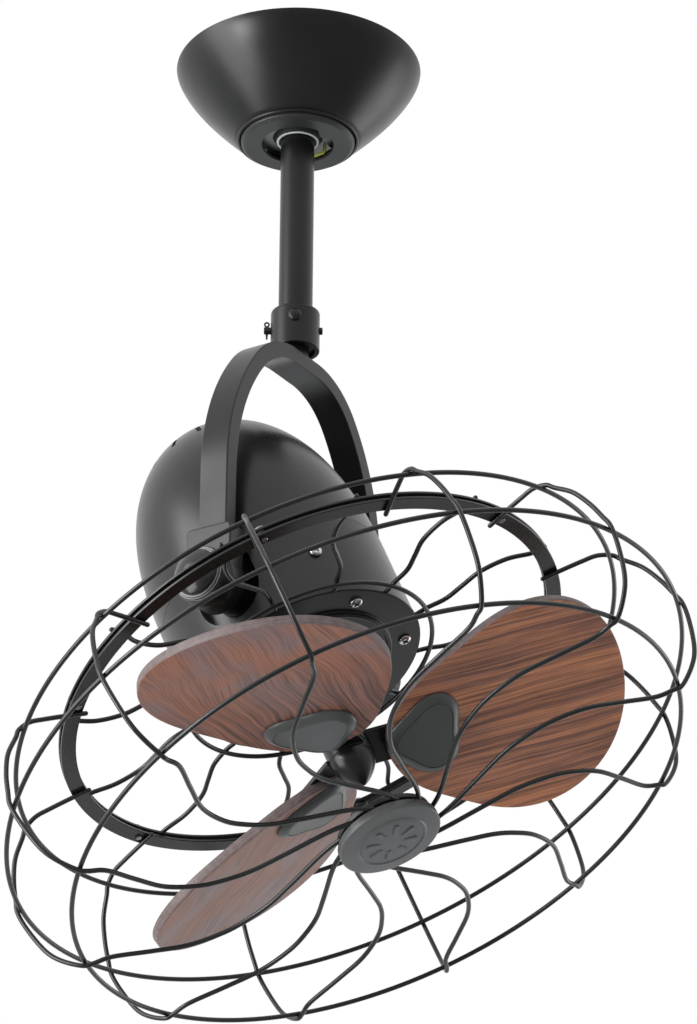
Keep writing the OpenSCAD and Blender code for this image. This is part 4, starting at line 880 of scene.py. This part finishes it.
bright_plate = coat("bright_nickel", (0.5, 0.5, 0.49), (0.68, 0.68, 0.67), 0.22, 1.0, 900)
side_head_r, side_screw_r, side_screw_angle, head_sunk = 4.1, 2.0, 47, 0.35
mesh = bmesh.new()
for side in (0, 180):
    for hand in (-1, 1):
        seat = turn(side + hand * side_screw_angle) @ turn(90, "Y")
        place = seat @ shift(0, 0, house_r - head_sunk) @ turn(28)
        screw(mesh, place, side_head_r, 2.5, side_screw_r, 8)
made_piece(
    "side_pan_screws", mesh, bright_plate, "head", ["side_screws"], head_frame
)

# ---- Front plate ----
# A pressed steel plate with a raised ring, screwed on the housing's flange. The shaft comes
# through its middle.
front_plate_r, plate_t, raised_r, raised_h, plate_hole_r = 74.0, 2.5, 54.0, 3.0, 12.0
plate_front = house_front + plate_t
profile = [
    (plate_hole_r, house_front, 0.3),
    (front_plate_r, house_front, 0.3),
    (front_plate_r, plate_front, 0.8),
    (raised_r, plate_front, 0.9),
    (raised_r, plate_front + raised_h, 1.2),
    (raised_r - 3, plate_front + raised_h, 1.2),
    (raised_r - 3, plate_front, 0.9),
    (plate_hole_r, plate_front, 0.4),
]
mesh = bmesh.new()
turned(mesh, soften(profile, 0.4, 4), 192)
made_piece(
    "front_cover_plate", mesh, satin_black, "head", ["front_plate"], head_frame
)

# ---- Front plate screws ----
# Six bright plated pan head screws with cross recesses, turned home each at its own angle.
plate_screw_at, plate_screw_angle = 63.0, -3
mesh = bmesh.new()
for i, home in enumerate((17, 52, 75, 8, 38, 64)):
    seat = turn(60 * i + plate_screw_angle)
    place = seat @ shift(plate_screw_at, 0, plate_front) @ turn(home)
    screw(mesh, place, side_head_r, 2.2, side_screw_r, plate_t + flange_t + 2)
made_piece(
    "front_pan_screws",
    mesh,
    bright_plate,
    "head",
    ["front_plate_screws"],
    head_frame,
)

# ---- Motor ----
# A slotted stator of bare laminations with varnished copper coils, between a zinc-plated
# bracket and end bell. Ground bearings carry the shaft, and a white run capacitor lies behind.
dress(zinc, "motor_bracket", "motor_bell", "through_bolts")
lamination = coat("bare_lamination", (0.25, 0.25, 0.27), (0.4, 0.4, 0.42), 0.4, 1.0)
dress(lamination, "stator_core", "rotor_core")
copper = coat("varnished_copper", (0.5, 0.2, 0.1), (0.72, 0.36, 0.18), 0.35, 1.0)
dress(copper, "windings")
ground_steel = coat("ground_steel", (0.6, 0.6, 0.62), (0.72, 0.72, 0.74), 0.18, 1.0)
dress(ground_steel, "bearings")
dress(white_nylon, "capacitor")
dress(dark_steel, "motor_shaft")

# ---- Blade hub ----
# A steel hub with three flat arms that lie behind the blades, powder-coated.
hub_r, hub_bore_r, hub_low, hub_face, neck_at = 14.6, 4.05, 85.0, 103.8, 8.0
blade_at, blade_pitch, blade_angle, blade_t, arm_t, arm_w = 102.0, 19.0, 51.0, 6.2, 2.6, 26.0
pad_size, pad_mid, pad_side = 25.5, 46.8, 3.6


def pad_outline(rim):
    """The pads' soft triangle, inset by a rim."""
    made = []
    for k in range(96):
        t = 2 * pi * k / 96
        rho = pad_size - rim + 2.3 * cos(t) - 1.7 * cos(2 * t) - 3.3 * cos(3 * t)
        made.append((pad_mid + rho * cos(t), pad_side + rho * sin(t)))
    return made


# Each blade's own frame in the fan: X along the blade, Z towards the front.
blade_frames = [
    head_frame @ turn(blade_angle + 120 * i) @ shift(0, 0, blade_at) @ turn(-blade_pitch, "X")
    for i in range(3)
]
mesh = bmesh.new()
profile = [(hub_bore_r, hub_low), (hub_r, hub_low), (hub_r, hub_face), (hub_bore_r, hub_face)]
turned(mesh, soften(profile, 0.8, 4), 96, place=head_frame)
neck = [(neck_at, -arm_w / 2), (pad_mid, -arm_w / 2), (pad_mid, arm_w / 2), (neck_at, arm_w / 2)]
for place in blade_frames:
    layers = soft_layers(-blade_t / 2 - arm_t, -blade_t / 2, 0.6)
    slab(mesh, pad_outline(1), layers, place)
    slab(mesh, neck, layers, place)
made_piece("blade_hub_spider", mesh, satin_black, "rotor", ["blade_hub"])


# ---- Blades ----
# Paddles of 6 mm plywood with a walnut face, lacquered satin, with a paler, softly rounded
# ply edge. One face is plain sawn, the second swirls at its tip and the third is cloudy.
def streaks(tree, where, along, across, detail):
    """Noise drawn out along the grain: so many waves per metre along it and across it."""
    stretch = node(tree, "Mapping", {"Vector": where, "Scale": (along, across, across)})
    return noise(tree, 1.0, detail, stretch.outputs["Vector"])


def layered(tree, low, high, share, mode="MIX"):
    """Lays one colour over another by a share from 0 to 1."""
    sockets = {0: share, 6: low, 7: high}
    return node(tree, "Mix", sockets, data_type="RGBA", blend_type=mode).outputs[2]


def on_blade(tree, place):
    """Coordinates in a blade's own frame."""
    where = node(tree, "TexCoord").outputs["Object"]
    seat = {"Location": place.translation, "Rotation": place.to_euler("XYZ")}
    mapping = node(tree, "Mapping", {"Vector": where, **seat}, vector_type="TEXTURE")
    return mapping.outputs["Vector"]


def lacquer(tree, surface, colour, rough, height, depth):
    """Gives a surface its colour, its roughness and its grain's relief under the lacquer."""
    finish = {"Base Color": colour, "Roughness": rough, "Specular IOR Level": 0.4}
    feed(tree, surface, {**finish, "Normal": bumps(tree, height, depth)})


def walnut(name, place, swirl, cloudy, start, dark, middle, warm, pale):
    """Walnut veneer cut from a log at start: its grain runs along the blade, bent by a swirl in
    metres, and turns cloudy by two shares, at the hub and at the tip."""
    made, tree, surface = shaded(name)
    local = on_blade(tree, place)
    moved = node(tree, "VectorMath", {0: local, 1: start}, operation="ADD").outputs["Vector"]
    eddy = noise(tree, 17, 1.5, moved, "Color")
    centred = node(tree, "VectorMath", {0: eddy, 1: (0.5, 0.5, 0.5)}, operation="SUBTRACT")
    bending = {0: centred.outputs["Vector"], 1: (swirl, swirl, 0), 2: moved}
    grain = node(tree, "VectorMath", bending, operation="MULTIPLY_ADD").outputs["Vector"]
    fine = streaks(tree, grain, 7, 520, 5)
    broad = streaks(tree, grain, 2.5, 90, 4)
    pores = streaks(tree, grain, 25, 1300, 3)
    along = node(tree, "SeparateXYZ", {"Vector": local}).outputs["X"]
    figure = layered(
        tree,
        tones(tree, broad, (0.37, dark), (0.47, middle), (0.56, warm), (0.65, middle)),
        tones(tree, fine, (0.41, dark), (0.5, middle), (0.6, warm)),
        0.6,
    )
    cloud = tones(tree, noise(tree, 22, 2, grain), (0.42, warm), (0.58, pale))
    clouded = layered(tree, figure, cloud, between(tree, along, *cloudy, 0.06, 0.13))
    pits = tones(tree, pores, (0.38, (0.35, 0.32, 0.3)), (0.5, (1, 1, 1)))
    colour = layered(tree, clouded, pits, 0.65, "MULTIPLY")
    lacquer(tree, surface, colour, between(tree, fine, 0.42, 0.52), pores, 0.00006)
    return made


def ply_edge(name, place):
    """The ply's edge: thin layers, brown and grey, under the same lacquer."""
    made, tree, surface = shaded(name)
    local = on_blade(tree, place)
    bands = {"Vector": local, "Scale": 155, "Distortion": 1.5, "Detail": 2, "Detail Scale": 60}
    layers = node(tree, "TexWave", bands, wave_type="BANDS", bands_direction="Z").outputs["Fac"]
    flecks = noise(tree, 260, 4, local)
    colour = layered(
        tree,
        tones(tree, layers, (0.2, (0.12, 0.09, 0.085)), (0.8, (0.155, 0.12, 0.118))),
        tones(tree, flecks, (0.35, (0.08, 0.055, 0.05)), (0.65, (0.17, 0.13, 0.128))),
        0.45,
    )
    lacquer(tree, surface, colour, between(tree, flecks, 0.4, 0.5), layers, 0.00005)
    return made


blade_size, blade_mid, blade_side, blade_edge_r, edge_below = 75.4, 99.4, 6.1, 0.9, 0.8
blade_outline = []
for k in range(200):
    t = 2 * pi * k / 200
    rho = blade_size + 9.4 * cos(t) + 3.9 * cos(2 * t) - 5.7 * cos(3 * t)
    rho -= 3.4 * sin(t) + 0.4 * sin(2 * t) + 0.4 * sin(3 * t)
    blade_outline.append((blade_mid + rho * cos(t), blade_side + rho * sin(t)))
for place, (name, swirl, cloudy, start, *veneer) in zip(
    blade_frames,
    [
        (
            "blade_a", 0.006, (0.1, 0.15), (0.3, 0.1, 0.0),
            (0.085, 0.035, 0.024), (0.235, 0.097, 0.06), (0.43, 0.165, 0.072), (0.2, 0.1, 0.078),
        ),
        (
            "blade_b", 0.026, (0.05, 0.75), (1.7, 0.6, 0.0),
            (0.034, 0.015, 0.011), (0.145, 0.07, 0.055), (0.29, 0.115, 0.066), (0.2, 0.13, 0.126),
        ),
        (
            "blade_c", 0.04, (0.65, 0.7), (2.9, 1.4, 0.0),
            (0.055, 0.028, 0.022), (0.18, 0.112, 0.098), (0.29, 0.14, 0.1), (0.25, 0.185, 0.18),
        ),
    ],
):
    mesh = bmesh.new()
    slab(mesh, blade_outline, soft_layers(-blade_t / 2, blade_t / 2, blade_edge_r, 4), place)
    facing = place.to_3x3() @ Vector((0, 0, 1))
    mesh.normal_update()
    for face in mesh.faces:
        face.material_index = 0 if abs(face.normal.dot(facing)) > edge_below else 1
    wood = walnut("walnut_face_" + name, place, swirl, cloudy, start, *veneer)
    edge = ply_edge("ply_edge_" + name, place)
    made_piece("walnut_" + name, mesh, [wood, edge], "rotor", [name])

# ---- Blade pads ----
# A bevelled satin black moulding on the front of each blade, a soft triangle with a fine
# stepped line inside its bevel.
pad_black = coat("pad_moulding", (0.042, 0.0435, 0.0425), (0.052, 0.054, 0.053), 0.36, speckle=350)
layers = [
    (inset, blade_t / 2 + up)
    for inset, up in [
        (0.6, -0.02), (0.0, 0.3), (0.0, 1.0), (0.15, 1.5), (0.5, 2.0), (1.3, 2.7), (2.6, 3.6),
        (3.8, 4.2), (4.6, 4.5), (5.0, 4.6), (5.3, 4.55), (5.45, 4.1), (5.65, 4.1), (5.8, 4.45),
        (6.1, 4.5), (6.5, 4.5),
    ]
]
mesh = bmesh.new()
for place in blade_frames:
    slab(mesh, pad_outline(0), layers, place)
made_piece("blade_pad_covers", mesh, pad_black, "rotor", ["blade_pads"])

# ---- Blade screws ----
# Zinc-plated screws through the arms and the blades, up to the pads.
dress(zinc, "blade_screws")

# ---- Nose cone ----
# A glossy moulded cone on the shaft's thread, which clamps the hub.
gloss_black = coat("black_gloss", (0.006, 0.006, 0.006), (0.009, 0.009, 0.009), 0.27, speckle=200)
nose_l = 21.0
profile = [(0, hub_face), (hub_r - 1.2, hub_face), (hub_r - 0.2, hub_face + 0.05)]
for k in range(1, 40):
    profile.append((hub_r * (1 - (k / 40) ** 1.7) ** 0.85, hub_face + nose_l * k / 40))
profile.append((0, hub_face + nose_l))
mesh = bmesh.new()
turned(mesh, profile, 96, closed=False)
made_piece("nose_cone_shell", mesh, gloss_black, "rotor", ["nose_cone"], head_frame)

# ---- Guard bands ----
# Two flat rings rolled from 9.5 by 1.8 mm strip, one for each half of the guard, with the
# coat rounding their edges.
band_r, band_w, band_at, band_t, band_gap = 165.0, 9.5, 42.4, 1.8, 2.2
wire_black = coat("guard_coat", (0.006, 0.0064, 0.0062), (0.011, 0.0115, 0.0112), 0.27)
rear_band_back = band_at - 2 * band_t - band_gap
for name, replaced, low in [
    ("front_guard_band", "front_band", band_at - band_t),
    ("rear_guard_band", "rear_band", rear_band_back),
]:
    in_r, high = band_r - band_w, low + band_t
    mesh = bmesh.new()
    turned(mesh, soften([(in_r, low), (band_r, low), (band_r, high), (in_r, high)], 0.45, 3), 240)
    made_piece(name, mesh, wire_black, "head", [replaced], head_frame)

# ---- Guard rings ----
# Four closed rings of 3 mm wire, butt-welded: one round the front plate, one at the back of
# the cage, the widest one and one at the front.
wire_r, wire_gap = 1.5, 0.05
lap = 2 * wire_r + wire_gap
back_ring_r, back_ring_at = 196.9, 52.0
middle_ring_r, middle_ring_at = 219.6, 103.5
front_ring_r, front_ring_at = 196.0, 153.5
inner_ring_r, inner_ring_at = 81.3, rear_band_back - wire_r - 1.6
wire_section = [wire_r * unit(2 * pi * k / 14) for k in range(14)]
for name, replaced, ring_at, along in [
    ("inner_guard_ring", "inner_ring", inner_ring_r, inner_ring_at),
    ("back_guard_ring", "back_ring", back_ring_r, back_ring_at),
    ("middle_guard_ring", "middle_ring", middle_ring_r, middle_ring_at),
    ("front_guard_ring", "front_ring", front_ring_r, front_ring_at),
]:
    mesh = bmesh.new()
    turned(mesh, [(ring_at + p.x, along + p.y) for p in wire_section], 240)
    made_piece(name, mesh, wire_black, "head", [replaced], head_frame, 60)

# ---- Front guard wires ----
# Twelve wires of 3 mm steel, bent on a jig: along the band, round the three rings on their
# outside and in a curl over the front to the cap. Spot-welded, then powder-coated.
curl, hold_plate_r, wire_end_at, wire_count = 30.5, 30.0, 160.05, 12
front_wire_angle, rear_wire_angle = 9, 15.5
on_band = band_at + wire_r + wire_gap
over_front = front_ring_at + lap
front_slope = (wire_end_at - over_front) / (front_ring_r - hold_plate_r)


def on_front(r, aside):
    """A place on the guard's front, at a radius and beside the wire's own plane."""
    return r, aside, over_front + front_slope * (front_ring_r - r)


def between_rings(shares, ring_r, ring_at):
    """A place part of the way from a ring to the middle ring, by radius and by depth."""
    out, along = shares
    return ring_r + out * (middle_ring_r - ring_r), 0, ring_at + along * (middle_ring_at - ring_at)


def guard_wires(name, points, first_angle, replaced):
    """Bends a wire through the points, and sets such wires all round the head."""
    mesh = bmesh.new()
    for i in range(wire_count):
        around = turn(first_angle + 360 / wire_count * i)
        round_bar(mesh, [around @ p for p in smooth_path(points, 6)], wire_r)
    made_piece(name, mesh, wire_black, "head", [replaced], head_frame, 60)


front_points = [
    (band_r - 1.15 * band_w, 0, on_band),
    (band_r, 0, on_band),
    ((band_r + back_ring_r) / 2, 0, on_band + 0.15 * lap),
    (back_ring_r - 2 * lap, 0, back_ring_at - 2.2 * lap),
    (back_ring_r + 0.72 * lap, 0, back_ring_at - 0.72 * lap),
    (back_ring_r + 2 * lap, 0, back_ring_at + 1.1 * lap),
]
for shares in [(0.66, 0.29), (0.92, 0.573), (1.06, 0.825)]:
    front_points.append(between_rings(shares, back_ring_r, back_ring_at))
front_points.append((middle_ring_r + lap, 0, middle_ring_at))
for shares in [(1.042, 0.71), (0.82, 0.35), (0.53, 0.138)]:
    front_points.append(between_rings(shares, front_ring_r, front_ring_at))
front_points.append((front_ring_r + 0.76 * lap, 0, front_ring_at + 0.68 * lap))
front_points.append(on_front(front_ring_r - 1.3 * lap, curl * 0.04))
for out, aside in [
    (0.904, 0.1), (0.777, 0.5), (0.645, 0.88), (0.506, 1), (0.398, 0.9), (0.313, 0.72),
    (0.235, 0.44), (0.163, 0.16), (0.09, -0.13), (0.036, -0.31),
]:
    curl_r = hold_plate_r + out * (front_ring_r - hold_plate_r)
    front_points.append(on_front(curl_r, curl * aside))
front_points.append((hold_plate_r - lap, curl * -0.43, wire_end_at))
guard_wires("front_guard_wires", front_points, front_wire_angle, "front_wires")

# ---- Rear guard wires ----
# Twelve wires of 3 mm steel in a shallow wave, from behind the rear band over the inner ring
# to the front plate's rim.
rear_on_band = rear_band_back - wire_r - wire_gap
at_inner_ring = inner_ring_at - lap
band_mid_r = band_r - band_w / 2
rear_slope = (rear_on_band - at_inner_ring) / (band_mid_r - inner_ring_r)
rear_curl = 6.4
rear_points = [(band_r - 0.1 * band_w, 0, rear_on_band), (band_r - band_w, 0, rear_on_band)]
for out, aside in [(0.7, 0.95), (0.486, 1), (0.319, 0.15), (0.164, -0.65), (0.012, -0.67)]:
    reach = out * (band_r - inner_ring_r)
    height = at_inner_ring + rear_slope * reach
    rear_points.append((inner_ring_r + reach, rear_curl * aside, height))
rear_points.append((front_plate_r + 0.3, rear_curl * -0.6, house_front + plate_t / 2))
guard_wires("rear_guard_wires", rear_points, rear_wire_angle, "rear_wires")

# ---- Band spacers and band screws ----
# Black washers keep the two bands apart. Screws from behind, with bright rims on their heads
# and dark tips, are threaded into the front band.
dress(matt_black, "band_spacers")
dull_plate = coat("dull_nickel", (0.2, 0.2, 0.2), (0.34, 0.34, 0.33), 0.3, 1.0, 900)
band_head_r, band_screw_r, band_screw_angle = 4.0, 2.0, 37
mesh = bmesh.new()
for i in range(6):
    seat = turn(band_screw_angle + 60 * i)
    place = seat @ shift(band_mid_r, 0, rear_band_back) @ turn(180, "X") @ turn(20 * i)
    screw(mesh, place, band_head_r, 2.4, band_screw_r, band_at - rear_band_back + 1.4)
made_piece(
    "guard_band_screws", mesh, dull_plate, "head", ["band_screws"], head_frame
)

# ---- Back plate and cap screw ----
# A black washer plate that holds the wires' inner ends against the cap, and its hidden screw.
dress(trim_black, "back_plate")
dress(zinc, "cap_screw")

# ---- Centre cap ----
# A moulded cap in satin black with a rounded rim, a raised ring and a plain ring of short
# ribs with soft ends.
cap_r, cap_rim, cap_dome, cap_at, cap_wall = 32.2, 5.5, 2.4, 169.6, 2.5
cap_edge = cap_at - cap_dome
cap_foot, cap_seat = cap_edge - cap_rim, cap_edge - cap_rim - 0.1
emboss, rib_count, cap_screw_r = 0.7, 8, 2.05


def dome_z(r):
    return cap_at - cap_dome * (r / cap_r) ** 2


cap_satin = coat("cap_moulding", (0.07, 0.0725, 0.0715), (0.082, 0.085, 0.084), 0.4, speckle=300)
ridge = cap_r * 0.69
ridge_z = dome_z(ridge)
profile = [(r, dome_z(r)) for r in [0, 2, 4, 6, 8, 10, 12, 14, 16, 18, 19.6, ridge - 2.1]]
profile += [
    (ridge - 1.8, ridge_z + 0.05),
    (ridge - 1.45, ridge_z + 0.4),
    (ridge - 1.0, ridge_z + emboss - 0.04),
    (ridge - 0.7, ridge_z + emboss),
    (ridge - 0.4, ridge_z + emboss - 0.04),
    (ridge + 0.05, ridge_z + 0.38),
    (ridge + 0.35, ridge_z + 0.02),
]
profile += [(r, dome_z(r)) for r in [ridge + 0.8, 24.5, 27, 29, 30, cap_r - 1.0]]
profile += [
    (cap_r - 0.55, cap_edge + 0.02),
    (cap_r - 0.22, cap_edge - 0.2),
    (cap_r - 0.04, cap_edge - 0.6),
    (cap_r, cap_edge - 1.0),
    (cap_r, cap_foot + 0.5),
    (cap_r - 0.3, cap_foot),
    (cap_r - cap_wall, cap_foot),
    (hold_plate_r, cap_seat),
    (cap_screw_r, cap_seat),
    (cap_screw_r, cap_seat + 5),
    (0, cap_seat + 5),
]
mesh = bmesh.new()
turned(mesh, profile, 160, closed=False)
rib_half, rib_in, rib_out = 1.6, cap_r * 0.23, cap_r * 0.52
end_arc = [rib_half * unit(-pi / 2 + pi * k / 10) for k in range(11)]
outline = [(rib_out - rib_half + p.x, p.y) for p in end_arc]
outline += [(rib_in + rib_half - p.x, -p.y) for p in end_arc]
low, high = dome_z(rib_out) - 0.3, dome_z((rib_in + rib_out) / 2) + emboss
layers = [(0, low), (0, high - 0.35), (0.1, high - 0.12)]
layers += [(0.3, high), (0.8, high + 0.02), (1.1, high + 0.02)]
for i in range(rib_count):
    slab(mesh, outline, layers, turn(360 / rib_count * i))
made_piece("centre_cap_shell", mesh, cap_satin, "head", ["centre_cap"], head_frame)
